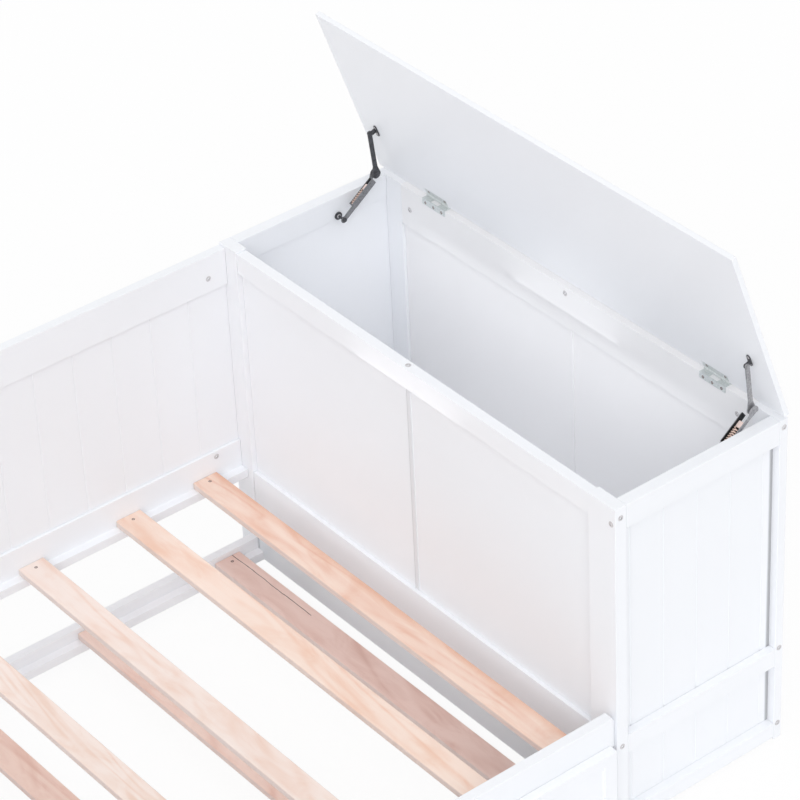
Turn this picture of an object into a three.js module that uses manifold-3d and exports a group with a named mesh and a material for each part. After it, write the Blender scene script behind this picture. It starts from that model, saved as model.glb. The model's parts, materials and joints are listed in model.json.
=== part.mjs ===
// A slatted daybed with a lidded storage box across one end and a rolling trundle underneath.
// The lid stands open on two sprung stays, and the trundle is pushed in.
// X runs from the foot end towards the box's hinge side, Y from front to back, Z up.
// While the pieces are made, X = 0 is the box's bed-side face and Y = 0 its front face.
// At the end the whole model is moved so that its origin is at the middle of its footprint.
import * as THREE from "three";
import Module from "manifold-3d";
import { mergeVertices } from "three/addons/utils/BufferGeometryUtils.js";

const wasm = await Module();
wasm.setup();

// Overall sizes
const width = 1080;
const boxDepth = 386;
const height = 694;
const bedLength = 1930;
const seam = 0.3;

// Frame timber
const postWidth = 67;
const bedBackPostWidth = 50;
const postThick = 25;
const farPostThick = 18;
const railThick = 24;
const railSet = 2;
const bedSideDrop = 3;
const topRailHeight = 46;
const endTopRailHeight = 48;
const panelSet = 11;
const endPanelSet = 16;
const sheetThick = 6;
const grooveWide = 5;
const grooveDeep = 2;
const stripWide = 10;
const stripProud = 2;

// Box
const lowRailBottom = 3;
const lowRailTop = 203;
const midRailBottom = 167;
const midRailTop = 206;
const bottomRailBottom = 5;
const bottomRailTop = 37;
const farTopRailHeight = 86;
const farPanelSet = 4;
const endGroovePitch = 75;
const endGrooveGap = 22;
const floorTop = 196;
const floorThick = 9;

// Bed
const boardThick = 18;
const bedRailThick = 20;
const bedRailBottom = 181;
const bedRailTop = 262;
const backTopRailHeight = 82;
const bedBackDrop = 5;
const backGroovePitch = 84.5;
const backGrooveGap = 86;
const footGrooveGap = 63;
const ledgeDeep = 18;
const ledgeTop = 203;
const ledgeHeight = 18;
const railEndGap = 9;
const tenonThick = 8;
const tenonMargin = 12;
const slatWide = 55;
const slatThick = 14;
const slatPitch = 215;
const firstSlat = 87;
const secondSlat = 262;

// Trundle
const trundleEndGap = 16;
const fasciaThick = 18;
const fasciaBottom = 16;
const fasciaTop = 206;
const fasciaStile = 28;
const fasciaRail = 24;
const fasciaRecess = 4;
const trundleDepth = 1026;
const trundleRailBottom = 20;
const trundleRailTop = 70;
const trundleLedgeTop = 46;
const trundleEndBottom = 12;
const trundleSlatWide = 58;
const trundleSlatPitch = 312;
const firstTrundleSlat = 88;
const secondTrundleSlat = 400;
const wheelRadius = 20;
const wheelThick = 16;
const wheelChamfer = 2;
const axleRadius = 4;
const axleClearance = 0.1;
const wheelSideGap = 0.5;
const wheelInset = 118;

// Lid and its hinges
const lidThick = 10;
const lidOverhangFront = 14;
const lidOverhangSide = 4;
const lidOpenAngle = THREE.MathUtils.degToRad(71);
const hingeInset = 165;
const hingeLong = 64;
const leafThick = 1.5;
const leafTall = 11;
const lidLeafDeep = 14;
const knuckleRadius = 3.5;
const hingePinRadius = 1.5;
const barrelCount = 3;

// Lid stays
const stayWallBack = 116;
const stayWallDrop = 40;
const elbowBack = 32;
const elbowRise = 21;
const lidPivotRun = 121;
const lidPivotDrop = 13;
const stayPlate = 2.5;
const stayPlateRadius = 8;
const stayPin = 2.5;
const stayPinHead = 4.5;
const stayPinClearance = 0.1;
const channelNear = 6;
const channelWide = 14;
const channelWall = 1.5;
const channelHalfTall = 6;
const channelStart = 14;
const channelEndBack = 8;
const channelWebBack = 30;
const eyeRadius = 7;
const tongueWide = 8;
const armThick = 3;
const armWide = 9;
const armEndRadius = 5;
const tabGap = 0.5;
const tabThick = 2;
const lidPlateAcross = 14;
const lidPlateAlong = 30;
const springStart = 18;
const springLong = 38;
const springMeanRadius = 3.3;
const springWire = 1.5;
const springTurns = 11;
const springStepsPerTurn = 8;
const springWireSides = 5;

// Facet counts
const roundSides = 20;
const wheelSides = 28;

// Finishes
const whitePaint = new THREE.MeshStandardMaterial({ color: "#f1f1f6", roughness: 0.45, metalness: 0 });
const innerPaint = new THREE.MeshStandardMaterial({ color: "#e6e9ee", roughness: 0.5, metalness: 0 });
const birch = new THREE.MeshStandardMaterial({ color: "#efd2bf", roughness: 0.65, metalness: 0 });
const darkBirch = new THREE.MeshStandardMaterial({ color: "#d8b3a3", roughness: 0.65, metalness: 0 });
const zinc = new THREE.MeshStandardMaterial({ color: "#c3c6c6", roughness: 0.35, metalness: 1 });
const darkSteel = new THREE.MeshStandardMaterial({ color: "#2f3034", roughness: 0.45, metalness: 0.7 });
const coppery = new THREE.MeshStandardMaterial({ color: "#d9a893", roughness: 0.35, metalness: 0.8 });
const greyWheel = new THREE.MeshStandardMaterial({ color: "#3a3a3c", roughness: 0.6, metalness: 0 });

const model = new THREE.Group();

function addPiece(name, geometry, material, group = model) {
  const piece = new THREE.Mesh(geometry, material);
  piece.name = name;
  group.add(piece);
  return piece;
}

// A right prism: its outline is given in (Y, Z) for axis x, (X, Z) for axis y and (X, Y) for axis z
function prism(outline, axis, from, to) {
  const flip = axis === "y";
  const points = outline.map(([a, b]) => (flip ? new THREE.Vector2(b, a) : new THREE.Vector2(a, b)));
  const shape = new THREE.Shape(points);
  const geometry = new THREE.ExtrudeGeometry(shape, { depth: to - from, bevelEnabled: false });
  const xAxis = new THREE.Vector3(1, 0, 0);
  const yAxis = new THREE.Vector3(0, 1, 0);
  const zAxis = new THREE.Vector3(0, 0, 1);
  const bases = { x: [yAxis, zAxis, xAxis], y: [zAxis, xAxis, yAxis], z: [xAxis, yAxis, zAxis] };
  const base = bases[axis];
  const place = new THREE.Matrix4().makeBasis(...base);
  place.setPosition(base[2].clone().multiplyScalar(from));
  return geometry.applyMatrix4(place);
}

function rectangle(low, high) {
  return [[low[0], low[1]], [high[0], low[1]], [high[0], high[1]], [low[0], high[1]]];
}

function block(xs, ys, zs) {
  return prism(rectangle([xs[0], ys[0]], [xs[1], ys[1]]), "z", zs[0], zs[1]);
}

function circle(centre, radius, sides = roundSides) {
  return Array.from({ length: sides }, (_, i) => {
    const angle = (2 * Math.PI * i) / sides;
    return [centre[0] + radius * Math.cos(angle), centre[1] + radius * Math.sin(angle)];
  });
}

// A hole's outline whose flats, not corners, are at the radius
function holeOutline(centre, radius, sides = roundSides) {
  return circle(centre, radius / Math.cos(Math.PI / sides), sides);
}

// A bar's outline from one point to another, with its width across them
function barOutline(a, b, wide) {
  const along = new THREE.Vector2(b[0] - a[0], b[1] - a[1]).normalize();
  const side = [(-along.y * wide) / 2, (along.x * wide) / 2];
  return [
    [a[0] - side[0], a[1] - side[1]],
    [b[0] - side[0], b[1] - side[1]],
    [b[0] + side[0], b[1] + side[1]],
    [a[0] + side[0], a[1] + side[1]],
  ];
}

function toSolid(geometry) {
  const bare = geometry.clone();
  bare.deleteAttribute("normal");
  bare.deleteAttribute("uv");
  const merged = mergeVertices(bare);
  const vertProperties = new Float32Array(merged.attributes.position.array);
  const triVerts = new Uint32Array(merged.index.array);
  return new wasm.Manifold(new wasm.Mesh({ numProp: 3, vertProperties, triVerts }));
}

function toGeometry(solid) {
  const mesh = solid.getMesh();
  const geometry = new THREE.BufferGeometry();
  geometry.setAttribute("position", new THREE.BufferAttribute(new Float32Array(mesh.vertProperties), 3));
  geometry.setIndex(new THREE.BufferAttribute(new Uint32Array(mesh.triVerts), 1));
  geometry.computeVertexNormals();
  return geometry;
}

// Joins the first list of shapes and cuts the second list out of the result
function joined(shapes, cuts = []) {
  const whole = shapes.map(toSolid).reduce((sum, solid) => sum.add(solid));
  const solid = cuts.map(toSolid).reduce((rest, cut) => rest.subtract(cut), whole);
  return toGeometry(solid);
}

// A sheet's outline in plan: it runs along the first axis, with V grooves in its face at low depth
function groovedOutline(from, to, face, thick, grooves) {
  const points = [[from, face]];
  const bottom = face + Math.sign(thick) * grooveDeep;
  for (const at of grooves) {
    points.push([at - grooveWide / 2, face], [at, bottom], [at + grooveWide / 2, face]);
  }
  points.push([to, face], [to, face + thick], [from, face + thick]);
  return points;
}

// Places of the grooves, a steady pitch apart and counted back from the end nearest the first one
function grooveLine(from, to, pitch, firstGap) {
  const count = Math.floor((to - from - firstGap - grooveWide) / pitch) + 1;
  return Array.from({ length: count }, (_, i) => to - firstGap - (count - 1 - i) * pitch);
}

function swapped(outline) {
  return outline.map(([a, b]) => [b, a]);
}

// A sheet that stands up between two posts, with a strip over its middle joint
function strippedSheet(xFace, from, to) {
  const middle = (from + to) / 2;
  const back = xFace + sheetThick;
  const low = middle - stripWide / 2;
  const high = middle + stripWide / 2;
  return [
    [xFace, from], [back, from], [back, low], [back + stripProud, low],
    [back + stripProud, high], [back, high], [back, to], [xFace, to],
    [xFace, high], [xFace - stripProud, high], [xFace - stripProud, low], [xFace, low],
  ];
}

const betweenPosts = [postWidth + seam, width - postWidth - seam];
const bedSideYs = [postWidth + seam, width - bedBackPostWidth - seam];
const farInner = boxDepth - farPostThick;
const topRailBottom = height - topRailHeight;

function makePosts() {
  const xSpans = { bed: [0, postThick], far: [farInner, boxDepth] };
  const backWidths = { bed: bedBackPostWidth, far: postWidth };
  for (const [side, xs] of Object.entries(xSpans)) {
    const ySpans = { front: [0, postWidth], back: [width - backWidths[side], width] };
    for (const [end, ys] of Object.entries(ySpans)) {
      addPiece(`post_${side}_${end}`, block(xs, ys, [0, height]), whitePaint);
    }
  }
}

function makeBedSide() {
  const xs = [railSet, postThick - railSet];
  const topZs = [topRailBottom, height - bedSideDrop];
  addPiece("bed_side_top_rail", block(xs, bedSideYs, topZs), whitePaint);
  addPiece("bed_side_low_rail", block(xs, bedSideYs, [lowRailBottom, lowRailTop]), whitePaint);
  const sheet = strippedSheet(panelSet, ...bedSideYs);
  const panel = prism(sheet, "z", lowRailTop + seam, topRailBottom - seam);
  addPiece("bed_side_panel", panel, whitePaint);
}

function makeFarSide() {
  const railBottom = height - farTopRailHeight;
  addPiece("far_top_rail", block([farInner, boxDepth], betweenPosts, [railBottom, height]), innerPaint);
  const lowRail = block([farInner, boxDepth], betweenPosts, [lowRailBottom, lowRailTop]);
  addPiece("far_low_rail", lowRail, innerPaint);
  const sheet = strippedSheet(farInner + farPanelSet + stripProud, ...betweenPosts);
  const panel = prism(sheet, "z", lowRailTop + seam, railBottom - seam);
  addPiece("far_side_panel", panel, innerPaint);
}

// The box's two ends are alike, mirrored about the middle of its length
function makeBoxEnd(end) {
  const front = end === "front";
  const mirror = (y) => (front ? y : width - y);
  const ySpan = (a, b) => [mirror(a), mirror(b)].sort((p, q) => p - q);
  const xs = [postThick + seam, farInner - seam];
  const addRail = (name, low, high, thick) => {
    addPiece(`${end}_end_${name}_rail`, block(xs, ySpan(0, thick), [low, high]), whitePaint);
  };
  addRail("top", height - endTopRailHeight, height, railThick);
  addRail("mid", midRailBottom, midRailTop, endPanelSet - seam);
  addRail("bottom", bottomRailBottom, bottomRailTop, railThick);
  const grooves = grooveLine(xs[0], xs[1], endGroovePitch, endGrooveGap);
  const thick = front ? sheetThick : -sheetThick;
  const outline = groovedOutline(xs[0], xs[1], mirror(endPanelSet), thick, grooves);
  const panel = prism(outline, "z", bottomRailTop + seam, height - endTopRailHeight - seam);
  addPiece(`${end}_end_panel`, panel, whitePaint);
}

function makeBoxFloor() {
  const inset = endPanelSet + sheetThick + seam;
  const xs = [postThick + seam, farInner - seam];
  const floor = block(xs, [inset, width - inset], [floorTop - floorThick, floorTop]);
  addPiece("box_floor", floor, innerPaint);
}

const hingeX = farInner + leafThick * 2 + knuckleRadius * 2 + leafThick + seam * 2;
const hingeZ = height + seam + knuckleRadius;
const lidRearX = hingeX - knuckleRadius - seam * 2;
const lidUnder = height + seam;
const lidLeafUnder = height + seam + leafThick + seam;
const hingeStarts = [hingeInset - hingeLong / 2, width - hingeInset - hingeLong / 2];

// Everything in this group is placed as it lies when the lid is shut, and then turned open
const lidPivot = new THREE.Group();
lidPivot.position.set(hingeX, 0, hingeZ);
lidPivot.rotation.y = lidOpenAngle;
const shutFrame = new THREE.Group();
shutFrame.position.set(-hingeX, 0, -hingeZ);
lidPivot.add(shutFrame);
model.add(lidPivot);

function makeLid() {
  const xs = [-lidOverhangFront, lidRearX];
  const board = block(xs, [-lidOverhangSide, width + lidOverhangSide], [lidUnder, lidUnder + lidThick]);
  const mortiseXs = [lidRearX - lidLeafDeep - leafThick, lidRearX + lidThick];
  const mortiseZs = [lidUnder - lidThick, lidLeafUnder + leafThick + seam];
  const mortises = hingeStarts.map((start) => {
    return block(mortiseXs, [start - seam, start + hingeLong + seam], mortiseZs);
  });
  addPiece("lid", joined([board], mortises), whitePaint, shutFrame);
}

// One butt hinge: a rail leaf wrapped over the rail's top edge, and a flat leaf let into the lid
function makeHinge(end, start) {
  const barrelLong = hingeLong / barrelCount;
  const middle = [start + barrelLong, start + barrelLong * 2];
  const axis = [hingeX, hingeZ];
  const faceX = farInner - seam;
  const outer = [[start, middle[0]], [middle[1], start + hingeLong]];
  const top = height + seam + leafThick;
  const railLeaf = [
    block([faceX - leafThick, faceX], [start, start + hingeLong], [height - leafTall, top]),
    prism(circle(axis, hingePinRadius), "y", start, start + hingeLong),
  ];
  for (const [low, high] of outer) {
    railLeaf.push(prism(circle(axis, knuckleRadius), "y", low, high));
  }
  railLeaf.push(block([faceX - leafThick, hingeX], [start, middle[0]], [height + seam, top]));
  railLeaf.push(block([faceX - leafThick, hingeX], [middle[1], start + hingeLong], [height + seam, top]));
  addPiece(`hinge_${end}_rail_leaf`, joined(railLeaf), zinc);

  const lidXs = [lidRearX - lidLeafDeep, lidRearX];
  const leafZs = [lidLeafUnder, lidLeafUnder + leafThick];
  const inner = [middle[0] + seam, middle[1] - seam];
  const lidLeaf = [
    block(lidXs, [start, start + hingeLong], leafZs),
    block([lidRearX - leafThick, hingeX], inner, leafZs),
    prism(circle(axis, knuckleRadius), "y", ...inner),
  ];
  const bore = prism(holeOutline(axis, hingePinRadius + axleClearance), "y", start, start + hingeLong);
  addPiece(`hinge_${end}_lid_leaf`, joined(lidLeaf, [bore]), zinc, shutFrame);
}

// Points of a stay, in X and Z, with the lid open
const wallPivot = [farInner - stayWallBack, height - stayWallDrop];
const elbow = [farInner - elbowBack, height + elbowRise];
const lidPivotShut = new THREE.Vector2(-lidPivotRun, lidUnder - lidPivotDrop - hingeZ);
const lidPivotOpen = [
  hingeX + lidPivotShut.x * Math.cos(lidOpenAngle) + lidPivotShut.y * Math.sin(lidOpenAngle),
  hingeZ - lidPivotShut.x * Math.sin(lidOpenAngle) + lidPivotShut.y * Math.cos(lidOpenAngle),
];
const channelAngle = Math.atan2(elbow[1] - wallPivot[1], elbow[0] - wallPivot[0]);
const channelLong = Math.hypot(elbow[0] - wallPivot[0], elbow[1] - wallPivot[1]);

// A point at a distance along the channel's line from the wall pivot, and at a height above that line
function onChannel(along, up) {
  const cosine = Math.cos(channelAngle);
  const sine = Math.sin(channelAngle);
  return [wallPivot[0] + along * cosine - up * sine, wallPivot[1] + along * sine + up * cosine];
}

function channelStrip(from, to, low, high) {
  return [onChannel(from, low), onChannel(to, low), onChannel(to, high), onChannel(from, high)];
}

// The spring's centre line: turns by a formula, and short straight ends along its axis
function springPath(place) {
  const points = [];
  const steps = springTurns * springStepsPerTurn;
  const lead = springWire * 2;
  const coilLong = springLong - lead * 2;
  const at = (angle, along) => {
    const up = springMeanRadius * Math.sin(angle);
    const across = springMeanRadius * Math.cos(angle);
    return place(springStart + along, up, across);
  };
  points.push(at(0, 0), at(0, springWire));
  for (let i = 0; i <= steps; i += 1) {
    points.push(at((2 * Math.PI * i) / springStepsPerTurn, lead + (coilLong * i) / steps));
  }
  points.push(at(0, springLong - springWire), at(0, springLong));
  return points;
}

// Sweeps a wire section along a list of points, square to the path, and closes both ends
function sweptWire(points) {
  const positions = [];
  const index = [];
  const count = points.length;
  let side = null;
  points.forEach((point, i) => {
    const before = points[Math.max(i - 1, 0)];
    const after = points[Math.min(i + 1, count - 1)];
    const along = after.clone().sub(before).normalize();
    const seed = side === null ? new THREE.Vector3(0, 1, 0) : side;
    side = seed.clone().addScaledVector(along, -seed.dot(along)).normalize();
    const up = along.clone().cross(side);
    for (let k = 0; k < springWireSides; k += 1) {
      const angle = (2 * Math.PI * k) / springWireSides;
      const across = side.clone().multiplyScalar(Math.cos(angle)).addScaledVector(up, Math.sin(angle));
      const corner = point.clone().addScaledVector(across, springWire / 2);
      positions.push(corner.x, corner.y, corner.z);
    }
  });
  for (let i = 0; i < count - 1; i += 1) {
    for (let k = 0; k < springWireSides; k += 1) {
      const next = (k + 1) % springWireSides;
      const [a, b] = [i * springWireSides + k, i * springWireSides + next];
      const [c, d] = [a + springWireSides, b + springWireSides];
      index.push(a, b, d, a, d, c);
    }
  }
  for (let k = 1; k < springWireSides - 1; k += 1) {
    const last = (count - 1) * springWireSides;
    index.push(0, k + 1, k, last, last + k, last + k + 1);
  }
  const geometry = new THREE.BufferGeometry();
  geometry.setAttribute("position", new THREE.BufferAttribute(new Float32Array(positions), 3));
  geometry.setIndex(index);
  geometry.computeVertexNormals();
  return geometry;
}

// The least distance between points of the path that are a turn or so apart, less the wire's thickness
function leastGap(points) {
  const fine = new THREE.CatmullRomCurve3(points).getPoints(points.length * 4);
  const apart = springStepsPerTurn * 2;
  let least = Infinity;
  fine.forEach((a, i) => {
    for (let j = i + apart; j < fine.length; j += 1) {
      least = Math.min(least, a.distanceTo(fine[j]));
    }
  });
  return least - springWire;
}

// One lid stay beside an end rail; inward is the way from that rail to the middle of the box
function makeStay(end) {
  const front = end === "front";
  const wall = front ? railThick : width - railThick;
  const inward = front ? 1 : -1;
  const ySpan = (a, b) => [wall + inward * a, wall + inward * b].sort((p, q) => p - q);
  const plate = (outline, a, b) => prism(outline, "y", ...ySpan(a, b));
  const far = channelNear + channelWide;
  const cheeks = [[channelNear, channelNear + channelWall], [far - channelWall, far]];
  const armFrom = channelNear + (channelWide - armThick) / 2;
  const armTo = armFrom + armThick;
  const hole = (centre) => plate(holeOutline(centre, stayPin + stayPinClearance), -stayPlate, far * 2);

  const bracket = [
    plate(circle(wallPivot, stayPlateRadius), seam, seam + stayPlate),
    plate(circle(wallPivot, stayPin), seam, far + stayPlate),
    plate(circle(wallPivot, stayPinHead), far + seam, far + stayPlate),
  ];
  addPiece(`stay_${end}_wall_bracket`, joined(bracket), darkSteel);

  const low = -channelHalfTall;
  const high = channelHalfTall;
  const webEnd = channelLong - channelWebBack;
  const wallEnd = channelStart + channelWall;
  const channel = [
    plate(channelStrip(channelStart, webEnd, low, low + channelWall), channelNear, far),
    plate(channelStrip(channelStart, wallEnd, low, high), channelNear, far),
    plate(circle(elbow, stayPin), channelNear, far),
    plate(barOutline(wallPivot, onChannel(wallEnd, 0), tongueWide), ...cheeks[1]),
    plate(circle(wallPivot, eyeRadius), ...cheeks[1]),
  ];
  const cheekEnd = channelLong - channelEndBack;
  const cheekTip = barOutline(onChannel(cheekEnd - channelWall, 0), elbow, channelHalfTall * 2);
  for (const cheek of cheeks) {
    channel.push(plate(channelStrip(channelStart, cheekEnd, low, high), ...cheek));
    channel.push(plate(cheekTip, ...cheek));
    channel.push(plate(circle(elbow, eyeRadius), ...cheek));
  }
  addPiece(`stay_${end}_channel`, joined(channel, [hole(wallPivot)]), darkSteel);

  const middleY = wall + inward * (channelNear + channelWide / 2);
  const place = (along, up, across) => {
    const [x, z] = onChannel(along, up);
    return new THREE.Vector3(x, middleY + across, z);
  };
  const path = springPath(place);
  console.log(`stay_${end}_spring least gap between turns ${leastGap(path).toFixed(2)} mm`);
  addPiece(`stay_${end}_spring`, sweptWire(path), coppery);

  const arm = [
    plate(barOutline(elbow, lidPivotOpen, armWide), armFrom, armTo),
    plate(circle(elbow, eyeRadius - channelWall), armFrom, armTo),
    plate(circle(lidPivotOpen, armEndRadius), armFrom, armTo),
  ];
  addPiece(`stay_${end}_arm`, joined(arm, [hole(elbow)]), darkSteel);

  const shutPivot = [hingeX + lidPivotShut.x, hingeZ + lidPivotShut.y];
  const tabFrom = armTo + tabGap;
  const tabTo = tabFrom + tabThick;
  const plateTop = lidUnder - seam;
  const footLow = [shutPivot[0] - lidPlateAlong / 2, plateTop - tabThick];
  const footHigh = [shutPivot[0] + lidPlateAlong / 2, plateTop];
  const tab = barOutline(shutPivot, [shutPivot[0], plateTop], armEndRadius * 2);
  const lidBracket = [
    plate(rectangle(footLow, footHigh), tabFrom, tabFrom + lidPlateAcross),
    plate(circle(shutPivot, armEndRadius), tabFrom, tabTo),
    plate(tab, tabFrom, tabTo),
  ];
  addPiece(`stay_${end}_lid_bracket`, joined(lidBracket), darkSteel, shutFrame);
}

// A board seen end on, with a ledge for the slats low on its inner face
function ledgedOutline(board, ledge, inner, reach) {
  const [low, high] = board;
  const [ledgeLow, ledgeHigh] = ledge;
  const outer = inner - reach.board;
  const tip = inner + reach.ledge;
  return [
    [outer, low], [inner, low], [inner, ledgeLow], [tip, ledgeLow],
    [tip, ledgeHigh], [inner, ledgeHigh], [inner, high], [outer, high],
  ];
}

const bedXs = [-bedLength + seam, -seam];
const bedLedge = [ledgeTop - ledgeHeight, ledgeTop];
const backInner = width - boardThick;

function makeBedBack() {
  const topBottom = height - backTopRailHeight;
  const topZs = [topBottom, height - bedBackDrop];
  addPiece("bed_back_top_rail", block(bedXs, [backInner, width], topZs), whitePaint);
  const reach = { board: -boardThick, ledge: -ledgeDeep };
  const outline = ledgedOutline([bedRailBottom, bedRailTop], bedLedge, backInner, reach);
  addPiece("bed_back_low_rail", prism(outline, "x", ...bedXs), whitePaint);
  const face = backInner + (boardThick - sheetThick) / 2;
  const grooves = grooveLine(bedXs[0], bedXs[1], backGroovePitch, backGrooveGap);
  const sheet = groovedOutline(bedXs[0], bedXs[1], face, sheetThick, grooves);
  addPiece("bed_back_panel", prism(sheet, "z", bedRailTop + seam, topBottom - seam), whitePaint);
}

function makeBedFrontRail() {
  const reach = { board: bedRailThick, ledge: ledgeDeep };
  const outline = ledgedOutline([bedRailBottom, bedRailTop], bedLedge, bedRailThick, reach);
  const xs = [-bedLength + railEndGap, -railEndGap];
  const tenonYs = [(bedRailThick - tenonThick) / 2, (bedRailThick + tenonThick) / 2];
  const tenonZs = [bedRailBottom + tenonMargin, bedRailTop - tenonMargin];
  const rail = joined([prism(outline, "x", ...xs), block(bedXs, tenonYs, tenonZs)]);
  addPiece("bed_front_rail", rail, whitePaint);
}

function makeFootEnd() {
  const xs = [-bedLength - postThick, -bedLength];
  const inner = [postWidth - seam, width - postWidth + seam];
  const sheetX = xs[0] + (postThick - sheetThick) / 2;
  const grooves = grooveLine(postWidth, width - postWidth, backGroovePitch, footGrooveGap);
  const sheet = groovedOutline(inner[0], inner[1], sheetX, sheetThick, grooves);
  const pieces = [
    block(xs, [0, postWidth], [0, height]),
    block(xs, [width - postWidth, width], [0, height]),
    block(xs, inner, [topRailBottom, height]),
    block(xs, inner, [bedRailBottom, bedRailTop]),
    prism(swapped(sheet), "z", bedRailTop - seam, topRailBottom + seam),
  ];
  addPiece("foot_end", joined(pieces), whitePaint);
}

// Places of a row of slats: one distance to the first, one to the second, then a steady pitch
function slatPlaces(first, second, pitch, wide) {
  const places = [first];
  for (let at = second; at + wide / 2 < bedLength - trundleEndGap; at += pitch) {
    places.push(at);
  }
  return places.map((at) => -at);
}

function makeBedSlats() {
  const ys = [bedRailThick + seam, backInner - seam];
  const zs = [ledgeTop + seam, ledgeTop + seam + slatThick];
  slatPlaces(firstSlat, secondSlat, slatPitch, slatWide).forEach((x, i) => {
    const slat = block([x - slatWide / 2, x + slatWide / 2], ys, zs);
    addPiece(`bed_slat_${i + 1}`, slat, birch);
  });
}

const trundleXs = [-bedLength + trundleEndGap, -trundleEndGap];
const trundlePlaces = slatPlaces(firstTrundleSlat, secondTrundleSlat, trundleSlatPitch, trundleSlatWide);
const trundleEnds = [trundlePlaces[0], trundlePlaces[trundlePlaces.length - 1]];
const trundleLedge = [trundleLedgeTop - ledgeHeight, trundleLedgeTop];
const trundleBackInner = trundleDepth - boardThick;
const endRailTop = trundleLedgeTop - seam;

// The fascia stands in front of the bed's front rail; its inner rail carries the slats
function makeTrundleFascia() {
  const face = -seam - fasciaThick;
  const reach = { board: boardThick, ledge: ledgeDeep };
  const inner = ledgedOutline([trundleRailBottom, trundleRailTop], trundleLedge, boardThick, reach);
  inner[0][0] -= seam * 2;
  inner[inner.length - 1][0] -= seam * 2;
  const panelXs = [trundleXs[0] + fasciaStile, trundleXs[1] - fasciaStile];
  const panelZs = [fasciaBottom + fasciaRail, fasciaTop - fasciaRail];
  const shapes = [
    block(trundleXs, [face, -seam], [fasciaBottom, fasciaTop]),
    prism(inner, "x", ...trundleXs),
  ];
  const recess = block(panelXs, [face - fasciaRecess, face + fasciaRecess], panelZs);
  addPiece("trundle_fascia", joined(shapes, [recess]), whitePaint);
}

function wheelPlaces() {
  return [wheelInset, trundleBackInner - wheelInset];
}

function makeTrundleFrame() {
  const reach = { board: -boardThick, ledge: -ledgeDeep };
  const back = ledgedOutline([trundleRailBottom, trundleRailTop], trundleLedge, trundleBackInner, reach);
  const shapes = [prism(back, "x", ...trundleXs)];
  const ys = [boardThick + ledgeDeep + seam, trundleBackInner];
  for (const x of trundleEnds) {
    shapes.push(block([x - boardThick / 2, x + boardThick / 2], ys, [trundleEndBottom, endRailTop]));
  }
  const bores = wheelPlaces().map((y) => {
    const outline = holeOutline([y, wheelRadius], axleRadius + axleClearance);
    return prism(outline, "x", trundleXs[0], trundleXs[1]);
  });
  addPiece("trundle_frame", joined(shapes, bores), whitePaint);
}

function makeTrundleSlats() {
  const ys = [boardThick + seam, trundleBackInner - seam];
  const zs = [trundleLedgeTop + seam, trundleLedgeTop + seam + slatThick];
  trundlePlaces.forEach((x, i) => {
    const slat = block([x - trundleSlatWide / 2, x + trundleSlatWide / 2], ys, zs);
    addPiece(`trundle_slat_${i + 1}`, slat, darkBirch);
  });
}

// A wheel and its stub axle turn together; the profile runs from the wheel's outer face to the axle's tip
function makeWheels() {
  const axleLong = boardThick + wheelSideGap;
  const profile = [
    [0, 0], [wheelRadius - wheelChamfer, 0], [wheelRadius, wheelChamfer],
    [wheelRadius, wheelThick - wheelChamfer], [wheelRadius - wheelChamfer, wheelThick],
    [axleRadius, wheelThick], [axleRadius, wheelThick + axleLong], [0, wheelThick + axleLong],
  ].map(([radius, along]) => new THREE.Vector2(radius, along));
  const sides = { box: [trundleEnds[0], 1], foot: [trundleEnds[1], -1] };
  for (const [side, [x, outward]] of Object.entries(sides)) {
    wheelPlaces().forEach((y, i) => {
      const wheel = new THREE.LatheGeometry(profile, wheelSides);
      const piece = addPiece(`wheel_${side}_${i === 0 ? "front" : "back"}`, wheel, greyWheel);
      piece.position.set(x + outward * (boardThick / 2 + wheelSideGap + wheelThick), y, wheelRadius);
      piece.rotation.z = (outward * Math.PI) / 2;
    });
  }
}

makePosts();
makeBedSide();
makeFarSide();
makeBoxEnd("front");
makeBoxEnd("back");
makeBoxFloor();
makeLid();
makeHinge("front", hingeStarts[0]);
makeHinge("back", hingeStarts[1]);
makeStay("front");
makeStay("back");
makeBedBack();
makeBedFrontRail();
makeFootEnd();
makeBedSlats();
makeTrundleFascia();
makeTrundleFrame();
makeTrundleSlats();
makeWheels();

// The origin goes to the middle of the footprint, on the floor
model.updateMatrixWorld(true);
const extent = new THREE.Box3().setFromObject(model, true);
const middle = extent.getCenter(new THREE.Vector3());
const daybed = new THREE.Group();
daybed.add(model);
model.position.set(-middle.x, -middle.y, -extent.min.z);

export default daybed;
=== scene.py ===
"""Looks of a slatted daybed with a lidded storage box across one end and a rolling trundle.

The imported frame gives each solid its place. This script rounds the timber's edges, adds the fixings
and gives every piece its finish, in metres, with +X towards the box and +Y towards the bed's back.
"""

import json
import logging
import math
from dataclasses import dataclass
from enum import Enum
from typing import Iterable, Union

import bmesh
import bpy
from mathutils import Matrix, Vector

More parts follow.
